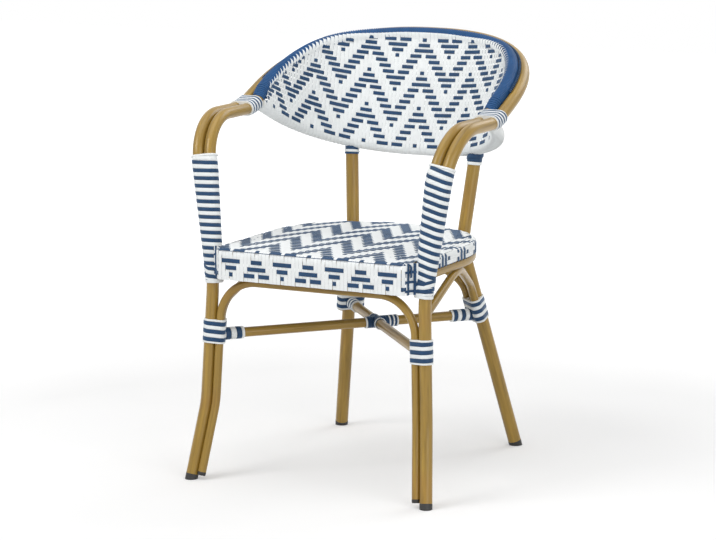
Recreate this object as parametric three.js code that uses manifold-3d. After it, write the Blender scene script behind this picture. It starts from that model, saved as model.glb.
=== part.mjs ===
// A stacking bistro armchair of bent tube, painted as bamboo, with a woven blue and white seat and back.
// One tube is front leg, arm and top rim on both sides. Its joints are bound with blue and white strand.
// X runs across the chair, Y from front to back and Z up from the floor. Lengths are in millimetres.
import * as THREE from "three";
import { mergeVertices } from "three/addons/utils/BufferGeometryUtils.js";
import Module from "manifold-3d";

const wasm = await Module();
wasm.setup();

// Fits
const clearance = 0.3; // between touching pieces
const overrun = 30; // what a cutting body sticks out by
const weld = 0.001; // vertices closer than this are one

// Seat
const seatHeight = 452;
const seatFront = 10;
const seatHalfWidth = 210;
const seatFrontInset = 9; // how much narrower each side is in front
const seatFrontCorner = 14;
const seatCurveLead = 54; // how far the seat's curve starts before the back's
const seatCurveDepth = 197;
const seatRoundness = 2.3;
const seatThickness = 2.5;
const seatEdge = 8;
const seatDomeHeight = 5;
const apronHeight = 59;
const bandHeight = 27;
const seatFrameRadius = 12;
const frontFrameRadius = 9;
const frontFrameInset = 18; // from the side of the seat's front
const frontFrameBendRadius = 15;
const crossBarRadius = 8;
const crossBarLead = 5; // in front of the seat's curve
const seatRailRadius = 9.5;

// Outer hoop: front legs, arms and top rim. Setbacks count from the front feet.
const hoopRadius = 12;
const waistGap = 13.7; // from the side of the seat to the leg's centre
const waistSetback = 46.2;
const waistDrop = 67; // below the seat
const waistBendRadius = 260;
const kneeSpread = 9.8; // out from the waist
const kneeSetback = 35;
const kneeHeight = 148;
const kneeBendRadius = 180;
const footSpread = 16.5; // out from the knee
const elbowInset = 1.9; // in from the arms
const elbowSetback = 62.3;
const elbowBendRadius = 115;
const armRise = 239; // above the seat
const armBendRadius = 140;
const hoopHalfWidth = 274.5;
const backStart = 304;
const backStartRise = 25; // above the arms
const backDepth = 246;
const backRoundness = 2.4;
const rimSlope = 0.436;

// Inner hoop and the strand wound round it in the back
const innerRadius = 11.2;
const rimStrandThickness = 1;
const innerEndRise = 12; // above the taper of the arm's binding

// Lower rail of the back and its rolled edge
const lowerRailRadius = 10;
const rollThickness = 2.8;
const lowerInset = 32.5; // in from the outer hoop
const lowerLead = 31.5; // how far the rail starts before the hoop's curve
const lowerDepth = 206.5;
const lowerDrop = 94; // below the arms
const lowerSlope = 0.478;

// Back panel
const panelThickness = 3;
const panelBulgeDepth = 5;
const panelLeastHeight = 6;
const mainRows = 4; // rows of the weave that stand out as ribs
const mainRowSwing = 0.9; // how far they pass before and behind the panel
const mainRowShare = 0.015; // a quarter of a rib's width, as a share of the panel's height

// Rear legs
const rearRadius = 13;
const rearFootHalfSpan = 198;
const rearFootRun = 228; // behind the start of the back's curve
const rearBendRadius = 60;
const rearSeatFacing = THREE.MathUtils.degToRad(63);
const rearTopFacing = THREE.MathUtils.degToRad(66);
const rearTopOffset = 6; // how far a rear leg ends behind the lower rail
const collarLength = 24;

// Arches under the seat
const archRadius = 8;
const archFootBendRadius = 50;
const sideArchBendRadius = 130;
const rearArchBendRadius = 75;
const archLeaveShare = 0.275; // how far up between binding and rail an arch leaves its leg
const sideArchInset = 6;

// Crossed stretchers
const stretcherRadius = 9.5;
const stretcherDrop = 175; // below the seat
const crossWrapReach = 27;
const crossWrapThickness = 2.4;

// Bindings
const strandWidth = 7;
const strandThickness = 1.3;
const strandGap = 0.5;
const armWrapDrop = 71; // below the arms
const armTaperRise = 205; // above the waist
const armTaperTail = 85; // below the waist, where the taper would reach one tube's width
const jointWrapLength = 41;
const jointWrapLead = 36; // before the start of the hoop's curve
const legWrapBelow = 14; // below the stretchers
const legWrapHeight = 46;
const sleeveLength = 35;
const baseThickness = 1.2;

// Feet
const glideHeight = 10;
const spigotLength = 14;
const spigotShare = 0.72;
const archCapLength = 7;
const archFootHeight = 8;

// How finely round shapes are cut
const tubeSides = 10;
const thinSides = 8;
const bendSagDepth = 0.8; // how far a bend may lie off its chord
const coarsestStep = THREE.MathUtils.degToRad(30);
const backSteps = 20;
const strandSides = 10;
const sleeveSides = 8;
const domeRings = 3;
const cornerSteps = 3;
const jointWrapCuts = 5;
const cornerPasses = 8; // how often a corner is moved until its bend lies right

// Derived sizes
const windingPitch = 2 * (strandWidth + strandGap);
const wrapLayer = clearance + strandThickness;
const rimOuter = innerRadius + clearance + rimStrandThickness;
const pairPitch = hoopRadius + rimOuter + clearance;
const rollOuter = lowerRailRadius + clearance + rollThickness;
const seatCurveStart = backStart - seatCurveLead;
const rearFootSetback = backStart + rearFootRun;
const seatFrontHalfWidth = seatHalfWidth - seatFrontInset;
const frontFrameHalfWidth = seatFrontHalfWidth - frontFrameInset;
const crossBarSetback = seatCurveStart - crossBarLead;
const waistHalfSpan = seatHalfWidth + waistGap;
const waistHeight = seatHeight - waistDrop;
const kneeHalfSpan = waistHalfSpan + kneeSpread;
const footHalfSpan = kneeHalfSpan + footSpread;
const elbowHalfSpan = hoopHalfWidth - elbowInset;
const armHeight = seatHeight + armRise;
const backStartHeight = armHeight + backStartRise;
const lowerHalfWidth = hoopHalfWidth - lowerInset;
const lowerStart = backStart - lowerLead;
const stretcherHeight = seatHeight - stretcherDrop;
const armWrapTop = armHeight - armWrapDrop;
const jointWrapEnd = backStart - jointWrapLead;
const armTaperTop = waistHeight + armTaperRise;
const armTaperFoot = waistHeight - armTaperTail;
const innerEndHeight = armTaperTop + innerEndRise;
const bandBottom = seatHeight - bandHeight;
const apronBottom = seatHeight - apronHeight;
const flatRadius = (radius, sides) => radius * Math.cos(Math.PI / sides);
const seatFrameFlat = flatRadius(seatFrameRadius, thinSides);
const frontFrameFlat = flatRadius(frontFrameRadius, thinSides);
const crossBarFlat = flatRadius(crossBarRadius, thinSides);
const seatRailFlat = flatRadius(seatRailRadius, tubeSides);
const seatFrameInset = seatThickness + clearance + seatFrameFlat;
const seatFrameHeight = seatHeight - seatFrameInset;
const seatRailInset = seatRailRadius;
const seatRailHeight = seatFrameHeight - seatFrameFlat - clearance - seatRailFlat;
const legWrapBottom = stretcherHeight - legWrapBelow;
const legWrapTop = legWrapBottom + legWrapHeight;

const at = (x, y, z) => new THREE.Vector3(x, y, z);
const along = (from, to, height) => from.clone().lerp(to, (height - from.z) / (to.z - from.z));
const mirrored = (point) => at(-point.x, point.y, point.z);
const inward = at(-1, 0, 0);

// A path through given points, cut only at those points.
class Route extends THREE.Curve {
  constructor(points) {
    super();
    this.points = points;
    const runs = points.slice(1).map((p, i) => p.clone().sub(points[i]));
    this.tangents = points.map((p, i) => {
      const before = runs[Math.max(i - 1, 0)].clone().normalize();
      const after = runs[Math.min(i, runs.length - 1)].clone().normalize();
      return before.add(after).normalize();
    });
    this.reach = [0];
    runs.forEach((run, i) => this.reach.push(this.reach[i] + run.length()));
  }
  mix(list, t) {
    const place = t * (list.length - 1);
    const first = Math.min(Math.floor(place), list.length - 2);
    return list[first].clone().lerp(list[first + 1], place - first);
  }
  getPoint(t) {
    return this.mix(this.points, t);
  }
  getPointAt(t) {
    return this.getPoint(t);
  }
  getTangent(t) {
    return this.mix(this.tangents, t).normalize();
  }
  getTangentAt(t) {
    return this.getTangent(t);
  }
  // The share of the path at a distance along it.
  shareAt(distance) {
    let i = 1;
    while (i < this.reach.length - 1 && this.reach[i] < distance) i += 1;
    const run = this.reach[i] - this.reach[i - 1];
    return (i - 1 + (distance - this.reach[i - 1]) / run) / (this.points.length - 1);
  }
  // The distance at which a coordinate of the path first passes a value.
  distanceWhere(axis, value) {
    for (let i = 1; i < this.points.length; i += 1) {
      const from = this.points[i - 1][axis];
      const to = this.points[i][axis];
      if ((from - value) * (to - value) <= 0 && from !== to) {
        const share = (value - from) / (to - from);
        return this.reach[i - 1] + share * (this.reach[i] - this.reach[i - 1]);
      }
    }
    return this.reach.at(-1);
  }
}

// How two straights meet in a bend, which takes at most half of the shorter one.
function bendOf(left, corner, right, radius) {
  const before = left.clone().sub(corner);
  const after = right.clone().sub(corner);
  const room = Math.min(before.length(), after.length()) / 2;
  const turn = Math.PI - before.angleTo(after);
  const reach = Math.min(radius * Math.tan(turn / 2), room);
  return { before: before.normalize(), after: after.normalize(), turn, reach };
}

// Straights through the given corners, joined by bends of the given radii, each cut at its middle.
function bent(corners, radii) {
  const path = [corners[0]];
  radii.forEach((radius, i) => {
    const corner = corners[i + 1];
    const { before, after, turn, reach } = bendOf(corners[i], corner, corners[i + 2], radius);
    const centre = before.clone().add(after).setLength(reach / Math.sin(turn / 2)).add(corner);
    const start = before.multiplyScalar(reach).add(corner).sub(centre);
    const end = after.multiplyScalar(reach).add(corner).sub(centre);
    const step = Math.min(coarsestStep, 2 * Math.acos(Math.max(0, 1 - bendSagDepth / radius)));
    const steps = 2 * Math.max(1, Math.ceil(turn / step / 2));
    for (let k = 0; k <= steps; k += 1) {
      const swing = (k / steps) * turn;
      const arm = start.clone().multiplyScalar(Math.sin(turn - swing));
      arm.addScaledVector(end, Math.sin(swing)).divideScalar(Math.sin(turn));
      path.push(arm.add(centre));
    }
  });
  path.push(corners.at(-1));
  return path;
}

// The corner of two straights whose bend passes through a given middle.
function cornerPast(middle, left, right, radius) {
  let corner = middle;
  for (let pass = 0; pass < cornerPasses; pass += 1) {
    const { before, after, turn, reach } = bendOf(left, corner, right, radius);
    corner = before.add(after).setLength(-reach * Math.tan(turn / 4)).add(middle);
  }
  return corner;
}

// The point of a superellipse that faces a direction, moved inwards by an inset.
function curvePoint(halfWidth, depth, roundness, facing, inset) {
  const power = roundness / (roundness - 1);
  const c = Math.cos(facing);
  const s = Math.abs(Math.sin(facing));
  const size = ((halfWidth * Math.abs(c)) ** power + (depth * s) ** power) ** (1 / power);
  const x = Math.sign(c) * halfWidth * ((halfWidth * Math.abs(c)) / size) ** (power - 1);
  const y = depth * ((depth * s) / size) ** (power - 1);
  return { x: x - inset * c, y: y - inset * s };
}

// Evenly spaced values from one to another.
const spaced = (from, to, steps) =>
  Array.from({ length: steps + 1 }, (unused, i) => from + ((to - from) * i) / steps);

// All back curves are cut at the same directions, so that their chords run side by side.
const backStep = Math.PI / backSteps;
const nearestStep = backStep / 9;
const searchStep = backStep / 60;
const allFacings = spaced(0, Math.PI, backSteps);
function facingsFrom(from) {
  const to = Math.PI - from;
  const inner = allFacings.filter((f) => f > from + nearestStep && f < to - nearestStep);
  return [from, ...inner, to];
}

// A point of a back curve on the chord between its cuts.
function onChord(curve, facing) {
  const first = Math.min(Math.floor(facing / backStep), backSteps - 1);
  return curve(first * backStep).lerp(curve((first + 1) * backStep), facing / backStep - first);
}

// A closed surface through rings of points: a loop of rings, or a stack closed by its end rings.
function loft(rings, looped) {
  const count = rings[0].length;
  const positions = rings.flat().flatMap((p) => [p.x, p.y, p.z]);
  const index = [];
  const links = looped ? rings.length : rings.length - 1;
  for (let r = 0; r < links; r += 1) {
    const next = ((r + 1) % rings.length) * count;
    for (let i = 0; i < count; i += 1) {
      const j = (i + 1) % count;
      index.push(r * count + i, r * count + j, next + j, r * count + i, next + j, next + i);
    }
  }
  if (!looped) {
    const last = (rings.length - 1) * count;
    for (let i = 1; i < count - 1; i += 1) index.push(0, i + 1, i, last, last + i, last + i + 1);
  }
  const geometry = new THREE.BufferGeometry();
  geometry.setAttribute("position", new THREE.Float32BufferAttribute(positions, 3));
  geometry.setIndex(index);
  return facingOut(geometry);
}

// The same closed surface with its faces turned outwards.
function facingOut(geometry) {
  const p = geometry.getAttribute("position");
  const index = geometry.index.array;
  const corner = (i) => new THREE.Vector3().fromBufferAttribute(p, index[i]);
  let volume = 0;
  for (let i = 0; i < index.length; i += 3)
    volume += corner(i).dot(corner(i + 1).cross(corner(i + 2)));
  if (volume < 0)
    for (let i = 0; i < index.length; i += 3) [index[i], index[i + 1]] = [index[i + 1], index[i]];
  geometry.computeVertexNormals();
  return geometry;
}

const polygon = (radius, sides) =>
  Array.from({ length: sides }, (unused, i) => {
    const angle = ((i + 0.5) / sides) * 2 * Math.PI;
    return new THREE.Vector2(radius * Math.cos(angle), radius * Math.sin(angle));
  });

// A bent tube, solid, or open right through where a bore is given.
function tube(points, radius, sides, bore = 0) {
  const section = new THREE.Shape(polygon(radius, sides));
  if (bore > 0) {
    const hole = polygon(bore / Math.cos(Math.PI / sides), sides);
    section.holes.push(new THREE.Path(hole.reverse()));
  }
  const route = new Route(points);
  const made = new THREE.ExtrudeGeometry(section, {
    steps: points.length - 1,
    extrudePath: route,
    bevelEnabled: false,
  });
  return facingOut(merged(made));
}

// A turned piece on an axis, from a profile of radius and height pairs.
function turned(profile, sides, base, direction) {
  const outline = profile.map(([r, h]) => new THREE.Vector2(r, h));
  const made = merged(new THREE.LatheGeometry(outline, sides));
  made.rotateX(Math.PI / 2);
  const turn = new THREE.Quaternion().setFromUnitVectors(at(0, 0, 1), direction);
  made.applyQuaternion(turn).translate(base.x, base.y, base.z);
  return facingOut(made);
}

function merged(geometry) {
  geometry.deleteAttribute("normal");
  geometry.deleteAttribute("uv");
  return mergeVertices(geometry, weld);
}

// Booleans
function solidOf(geometry) {
  const vertProperties = geometry.getAttribute("position").array;
  const triVerts = new Uint32Array(geometry.index.array);
  return new wasm.Manifold(new wasm.Mesh({ numProp: 3, vertProperties, triVerts }));
}

function geometryOf(solid) {
  const mesh = solid.getMesh();
  const geometry = new THREE.BufferGeometry();
  geometry.setAttribute("position", new THREE.BufferAttribute(mesh.vertProperties, 3));
  geometry.setIndex(new THREE.BufferAttribute(mesh.triVerts, 1));
  geometry.computeVertexNormals();
  return geometry;
}

const cut = (geometry, ...tools) =>
  geometryOf(tools.reduce((left, tool) => left.subtract(solidOf(tool)), solidOf(geometry)));

// The outline of a tight band round circles, which are listed anticlockwise, each met by the band.
// Each corner lies just outside its circle, so that every side touches.
function bandOutline(circles, layer, sides) {
  const normals = circles.map((circle, i) => {
    const next = circles[(i + 1) % circles.length];
    const across = Math.hypot(next.x - circle.x, next.y - circle.y);
    const lean = Math.acos((circle.r - next.r) / across);
    return Math.atan2(next.y - circle.y, next.x - circle.x) - lean;
  });
  return circles.flatMap((circle, i) => {
    if (circles.length === 1) normals[0] = Math.PI;
    const start = normals[(i + circles.length - 1) % circles.length];
    let sweep = (normals[i] - start) % (2 * Math.PI);
    if (sweep <= 0) sweep += 2 * Math.PI;
    const steps = Math.max(1, Math.round((sides * sweep) / (2 * Math.PI)));
    const reach = (circle.r + layer) / Math.cos(sweep / steps / 2);
    return Array.from({ length: steps }, (unused, k) => {
      const angle = start + ((k + 0.5) * sweep) / steps;
      return { x: circle.x + reach * Math.cos(angle), y: circle.y + reach * Math.sin(angle), angle };
    });
  });
}

// A place in the plane square to a route: x towards the given side, y square to that.
function frameAt(route, distance, side) {
  const share = route.shareAt(distance);
  const origin = route.getPoint(share);
  const tangent = route.getTangent(share);
  const x = side.clone().addScaledVector(tangent, -side.dot(tangent)).normalize();
  return { origin, tangent, x, y: tangent.clone().cross(x) };
}

const placed = (frame, x, y, z) =>
  frame.origin.clone().addScaledVector(frame.x, x).addScaledVector(frame.y, y)
    .addScaledVector(frame.tangent, z);

// A flat strand wound round tubes: one unbroken band whose least gap to itself is measured on its points.
function winding(name, binding, start, turns) {
  const { route, side, bundle, layer, sides } = binding;
  const count = bandOutline(bundle(start), layer, sides).length;
  const rings = [];
  const edge = (distance, i) => {
    const frame = frameAt(route, distance, side);
    const { x, y, angle } = bandOutline(bundle(distance), layer, sides)[i];
    const outer = strandThickness / Math.cos(Math.PI / sides);
    return [0, outer].map((out) =>
      placed(frame, x + out * Math.cos(angle), y + out * Math.sin(angle), 0),
    );
  };
  for (let k = 0; k <= Math.round(turns * count); k += 1) {
    const outline = bandOutline(bundle(start + (k / count) * windingPitch), layer, sides);
    const spans = outline.map((p, i) => {
      const next = outline[(i + 1) % count];
      return Math.hypot(next.x - p.x, next.y - p.y);
    });
    const round = spans.reduce((sum, span) => sum + span, 0);
    const done = spans.slice(0, k % count).reduce((sum, span) => sum + span, 0);
    const rise = (Math.floor(k / count) + done / round) * windingPitch;
    const below = edge(start + rise - strandWidth / 2, k % count);
    const above = edge(start + rise + strandWidth / 2, k % count);
    rings.push([...below, ...above.reverse()]);
  }
  let least = Infinity;
  for (let k = count; k < rings.length; k += 1)
    for (const here of rings[k])
      for (const there of rings[k - count]) least = Math.min(least, here.distanceTo(there));
  console.log(name + ": least gap of the winding to itself " + least.toFixed(2) + " mm");
  return loft(rings, false);
}

// A plain sleeve round the same tubes, which carries a winding.
function sleeve(binding, from, to, steps) {
  const { route, side, bundle, sides } = binding;
  const ring = (distance, layer) => {
    const frame = frameAt(route, distance, side);
    return bandOutline(bundle(distance), layer, sides).map((p) => placed(frame, p.x, p.y, 0));
  };
  const stations = spaced(from, to, steps);
  const outer = stations.map((distance) => ring(distance, clearance + baseThickness));
  const inner = stations.reverse().map((distance) => ring(distance, clearance));
  return loft([...outer, ...inner], true);
}

// Materials
const paint = (color, roughness) => new THREE.MeshStandardMaterial({ color, roughness, metalness: 0 });
const bamboo = () => paint(0xa57d3c, 0.35);
const blueStrand = () => paint(0x233e6e, 0.45);
const whiteStrand = () => paint(0xf0f0eb, 0.5);
const weaveMix = () => paint(0xa9b4c6, 0.5);
const blackPlastic = () => paint(0x2b3036, 0.5);

const chair = new THREE.Group();
const rightSide = new THREE.Group();
const leftSide = new THREE.Group();
leftSide.scale.x = -1;
chair.add(rightSide, leftSide);

function add(name, geometry, material, group = chair) {
  const mesh = new THREE.Mesh(geometry, material);
  mesh.name = name;
  group.add(mesh);
}

function addPair(name, geometry, material) {
  add(name + "_right", geometry, material(), rightSide);
  add(name + "_left", geometry, material(), leftSide);
}

// Outer hoop
const foot = at(footHalfSpan, 0, 0);
const knee = at(kneeHalfSpan, kneeSetback, kneeHeight);
const waist = at(waistHalfSpan, waistSetback, waistHeight);
const elbow = at(elbowHalfSpan, elbowSetback, armHeight);
const armEnd = at(hoopHalfWidth, backStart - (backStartHeight - armHeight) / rimSlope, armHeight);
const rimStart = at(hoopHalfWidth, backStart, backStartHeight);
const footAxis = knee.clone().sub(foot).normalize();
const hoopFoot = foot.clone().addScaledVector(footAxis, glideHeight);

function rimPoint(facing, inset) {
  const onRim = curvePoint(hoopHalfWidth, backDepth, backRoundness, facing, 0);
  const p = curvePoint(hoopHalfWidth, backDepth, backRoundness, facing, inset);
  return at(p.x, backStart + p.y, backStartHeight + rimSlope * onRim.y);
}

const outerSide = bent(
  [hoopFoot, knee, waist, elbow, armEnd, rimStart],
  [kneeBendRadius, waistBendRadius, elbowBendRadius, armBendRadius],
);
const outerRim = spaced(0, Math.PI, backSteps).map((facing) => rimPoint(facing, 0));
const outerRoute = new Route(outerSide);
const outerPath = [
  ...outerSide,
  ...outerRim.slice(1, -1),
  ...outerSide.map(mirrored).reverse(),
];

// A foot's spigot and the bore it goes into
const spigotRadius = (radius) => radius * spigotShare;

function footBore(top, axis, radius, sides) {
  const bore = spigotRadius(radius) + clearance;
  const depth = spigotLength + clearance;
  return turned([[0, -overrun], [bore, -overrun], [bore, depth], [0, depth]], sides, top, axis);
}

const hoopBore = footBore(hoopFoot, footAxis, hoopRadius, tubeSides);
const hoopBoreLeft = facingOut(hoopBore.clone().scale(-1, 1, 1));
add("outer_hoop", cut(tube(outerPath, hoopRadius, tubeSides), hoopBore, hoopBoreLeft), bamboo());

// Inner hoop: beside the outer one in the arms, and the inner rim of the back
const beside = (point) => at(point.x - pairPitch, point.y, point.z);
const innerStart = beside(along(waist, elbow, innerEndHeight));
const innerSide = [
  innerStart,
  ...outerSide.filter((p) => p.z > innerEndHeight + overrun).map(beside),
];
const innerRim = spaced(0, Math.PI, backSteps).map((facing) => rimPoint(facing, pairPitch));
const innerPath = [
  ...innerSide,
  ...innerRim.slice(1, -1),
  ...innerSide.map(mirrored).reverse(),
];
add("inner_hoop", tube(innerPath, innerRadius, tubeSides), bamboo());

// Strand wound close round the inner rim
const jointEnd = outerRoute.distanceWhere("y", jointWrapEnd);
const wrapEdge = jointWrapEnd + strandWidth;
const rimRoute = new Route(innerPath);
const rimFirst = rimRoute.distanceWhere("y", wrapEdge);
const rimWrapStart = rimRoute.getPoint(rimRoute.shareAt(rimFirst));
const rimWrapPath = [
  rimWrapStart,
  ...innerPath.filter((p) => p.y > wrapEdge),
  mirrored(rimWrapStart),
];
add(
  "back_rim_wrap",
  tube(rimWrapPath, rimOuter, tubeSides, innerRadius + clearance),
  blueStrand(),
);

// Lower rail of the back
function lowerPoint(facing, offset = 0) {
  const onRail = curvePoint(lowerHalfWidth, lowerDepth, backRoundness, facing, 0);
  const p = curvePoint(lowerHalfWidth, lowerDepth, backRoundness, facing, -offset);
  const height = armHeight - lowerDrop + lowerSlope * (lowerDepth - onRail.y);
  return at(p.x, lowerStart + p.y, height);
}

const lowerAt = (facing) => onChord((f) => lowerPoint(f), facing);
const innerAt = (facing) => onChord((f) => rimPoint(f, pairPitch), facing);

// How far a line from one back curve to the other leaves each before it is clear of the round tube.
function panelLeads(facing) {
  const down = lowerAt(facing).sub(innerAt(facing));
  const lead = (curve, radius) => {
    const low = Math.max(0, Math.floor(facing / backStep)) * backStep;
    const run = curve(Math.min(low + backStep, Math.PI)).sub(curve(Math.min(low, Math.PI - backStep)));
    return (radius + 2 * clearance) / Math.sin(run.angleTo(down));
  };
  return { length: down.length(), lead: lead(innerAt, rimOuter), tail: lead(lowerAt, rollOuter) };
}

// How near a point comes to the middle of the inner hoop.
function toInnerHoop(point) {
  const distances = innerPath.slice(1).map((next, i) => {
    const chord = new THREE.Line3(innerPath[i], next);
    return chord.closestPointToPoint(point, true, at(0, 0, 0)).distanceTo(point);
  });
  return Math.min(...distances);
}

// The first direction in which the rim and the rail leave a gap between them.
function facingWhereClear(gap) {
  let facing = 0;
  const open = () => {
    const { length, lead, tail } = panelLeads(facing);
    const rail = lowerAt(facing);
    const clear = toInnerHoop(rail) - rimOuter - rollOuter - clearance;
    return Math.min(length - lead - tail, clear) >= gap && rail.y >= wrapEdge;
  };
  while (!open()) facing += searchStep;
  return facing;
}

const railFacing = facingWhereClear(0);
const railPath = facingsFrom(railFacing).map(lowerAt);
add("back_lower_rail", tube(railPath, lowerRailRadius, thinSides), bamboo());
add(
  "back_edge_roll",
  tube(railPath, rollOuter, tubeSides, lowerRailRadius + clearance),
  whiteStrand(),
);

// Woven back panel, between the inner rim and the rolled edge
const panelFacing = facingWhereClear(panelLeastHeight);
const panelStations = facingsFrom(panelFacing);

function panelPoint(facing, share, swing, side) {
  const top = innerAt(facing);
  const down = lowerAt(facing).sub(top).normalize();
  const { length, lead, tail } = panelLeads(facing);
  const point = top.addScaledVector(down, lead + share * (length - lead - tail));
  const bulge = panelBulgeDepth * 4 * share * (1 - share) * Math.sin(facing);
  const out = side * (panelThickness / 2) + bulge + swing;
  return point.add(at(Math.cos(facing) * out, Math.sin(facing) * out, 0));
}

// Share and swing of each point from the rim down: a rib passes before and behind the panel by turns.
function panelProfile(i) {
  const atEnd = i === 0 || i === panelStations.length - 1;
  const ribs = spaced(0, mainRows - 1, mainRows - 1).flatMap((row) => {
    const middle = (row + 1 / 2) / mainRows;
    const swing = atEnd ? 0 : mainRowSwing * (-1) ** (i + row);
    return [[-2, 0], [-1, swing], [1, swing], [2, 0]].map(([quarter, out]) => [
      middle + quarter * mainRowShare,
      out,
    ]);
  });
  return [[0, 0], ...ribs, [1, 0]];
}

const panelRings = panelStations.map((facing, i) => [
  ...panelProfile(i).map(([share, swing]) => panelPoint(facing, share, swing, 1)),
  ...panelProfile(i).reverse().map(([share, swing]) => panelPoint(facing, share, swing, -1)),
]);
add("back_panel", loft(panelRings, false), weaveMix());

// Seat outline, anticlockwise from the front right corner
function seatCurve(facing, inset) {
  const p = curvePoint(seatHalfWidth, seatCurveDepth, seatRoundness, facing, inset);
  return at(p.x, seatCurveStart + p.y, 0);
}

const notchPlay = 2 * wrapLayer;
const notchFront = waistSetback - hoopRadius - notchPlay;
const notchBack = waistSetback + hoopRadius + 2 * notchPlay;
const notchMiddle = (notchFront + notchBack) / 2;
const notchInside = waistHalfSpan - pairPitch - hoopRadius - notchPlay;

function seatOutline(inset) {
  const corner = (angle) => {
    const r = seatFrontCorner - Math.min(inset, seatFrontCorner - clearance);
    return at(
      seatFrontHalfWidth - inset - r + r * Math.cos(angle),
      seatFront + inset + r + r * Math.sin(angle),
      0,
    );
  };
  const frontRight = spaced(-Math.PI / 2, 0, cornerSteps).map(corner);
  const half = [
    ...frontRight,
    at(seatHalfWidth - inset, notchMiddle - clearance, 0),
    at(seatHalfWidth - inset, notchMiddle + clearance, 0),
    ...spaced(0, Math.PI / 2, backSteps / 2).map((facing) => seatCurve(facing, inset)),
  ];
  return [...half, ...half.slice(0, -1).map(mirrored).reverse()];
}

// Woven seat: a thin domed top that turns down over the frame, with a deep apron in front
function seatRing(inset, drop, spread) {
  const dome = seatDomeHeight * (1 - spread * spread);
  const middle = at(0, (seatFront + seatCurveStart + seatCurveDepth) / 2, 0);
  return seatOutline(inset).map((p) => {
    const q = middle.clone().lerp(p, spread);
    return at(q.x, q.y, seatHeight - drop + dome);
  });
}

function seatHem(inset) {
  return seatOutline(inset).map((p) => {
    const z = p.y < notchMiddle ? apronBottom : bandBottom;
    return at(p.x, p.y, z);
  });
}

const innerEdge = seatEdge - seatThickness;
const bendMiddle = 1 - Math.SQRT1_2;
const innerMiddle = seatThickness + innerEdge * bendMiddle;
const domeSpreads = spaced(1 / domeRings / 2, 1, domeRings).slice(0, -1);
const seatShell = loft(
  [
    ...domeSpreads.map((spread) => seatRing(seatEdge, 0, spread)),
    seatRing(seatEdge, 0, 1),
    seatRing(seatEdge * bendMiddle, seatEdge * bendMiddle, 1),
    seatRing(0, seatEdge, 1),
    seatHem(0),
    seatHem(seatThickness),
    seatRing(seatThickness, seatEdge, 1),
    seatRing(innerMiddle, innerMiddle, 1),
    seatRing(seatEdge, seatThickness, 1),
    ...domeSpreads.reverse().map((spread) => seatRing(seatEdge, seatThickness, spread)),
  ],
  false,
);

function notchTool() {
  const reach = seatHalfWidth + overrun;
  const section = new THREE.Shape([
    new THREE.Vector2(notchInside, notchFront),
    new THREE.Vector2(reach, notchFront),
    new THREE.Vector2(reach, notchBack),
    new THREE.Vector2(notchInside, notchBack),
  ]);
  const depth = apronHeight + 2 * overrun;
  const made = new THREE.ExtrudeGeometry(section, { depth, bevelEnabled: false });
  return facingOut(merged(made.translate(0, 0, apronBottom - overrun)));
}

const notch = notchTool();
const notchLeft = facingOut(notch.clone().scale(-1, 1, 1));
add("seat_weave", cut(seatShell, notch, notchLeft), weaveMix());

// Frame loops under the weave, and the bare rail below them
const openLoop = (inset, height) => {
  const start = at(seatHalfWidth - inset, notchBack + clearance, height);
  const curve = spaced(0, Math.PI, backSteps).map((f) => seatCurve(f, inset).setZ(height));
  return [start, ...curve, mirrored(start)];
};
add("seat_frame", tube(openLoop(seatFrameInset, seatFrameHeight), seatFrameRadius, thinSides), bamboo());
add("seat_rail", tube(openLoop(seatRailInset, seatRailHeight), seatRailRadius, tubeSides), bamboo());

const frontFrameY = seatFront + seatThickness + clearance + frontFrameFlat;
const frontFrameTop = seatHeight - seatThickness - clearance - frontFrameFlat;
const frontFrameBottom = apronBottom + frontFrameRadius;
const frontRight = at(frontFrameHalfWidth, frontFrameY, frontFrameTop);
const frontLow = at(frontFrameHalfWidth, frontFrameY, frontFrameBottom);
const frontMiddle = at(clearance / 2, frontFrameY, frontFrameBottom);
const frontCorners = [
  frontMiddle, frontLow, frontRight, mirrored(frontRight), mirrored(frontLow), mirrored(frontMiddle),
];
const frontBends = Array(frontCorners.length - 2).fill(frontFrameBendRadius);
add("front_frame", tube(bent(frontCorners, frontBends), frontFrameRadius, thinSides), bamboo());

const barReach = seatHalfWidth - seatFrameInset - seatFrameFlat - clearance;
const barHeight = seatHeight - seatThickness - clearance - crossBarFlat;
const barEnd = at(barReach, crossBarSetback, barHeight);
add("seat_cross_bar", tube([mirrored(barEnd), barEnd], crossBarRadius, thinSides), bamboo());

// Rear legs: from the floor past the seat rail to the lower rail of the back
const rearTouch = seatCurve(rearSeatFacing, -(rearRadius + clearance)).setZ(seatRailHeight);
const rearFoot = at(rearFootHalfSpan, rearFootSetback, 0);
const rearTop = lowerPoint(rearTopFacing, rearTopOffset);
const rearKnee = cornerPast(rearTouch, rearFoot, rearTop, rearBendRadius);
const rearAxis = rearKnee.clone().sub(rearFoot).normalize();
const rearStart = rearFoot.clone().addScaledVector(rearAxis, glideHeight);
const rearPath = bent([rearStart, rearKnee, rearTop], [rearBendRadius]);
const rollTool = tube(railPath, rollOuter + clearance, tubeSides);
const rearBore = footBore(rearStart, rearAxis, rearRadius, tubeSides);
addPair("rear_leg", cut(tube(rearPath, rearRadius, tubeSides), rollTool, rearBore), bamboo);

const rearUpper = rearTop.clone().sub(rearKnee).normalize();
const collarStart = rearTop.clone().addScaledVector(rearUpper, -rollOuter - collarLength);
const collarRadius = rearRadius + clearance + strandThickness;
const collar = tube([collarStart, rearTop], collarRadius, tubeSides, rearRadius + clearance);
addPair("rear_leg_collar", cut(collar, rollTool), blueStrand);

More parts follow.
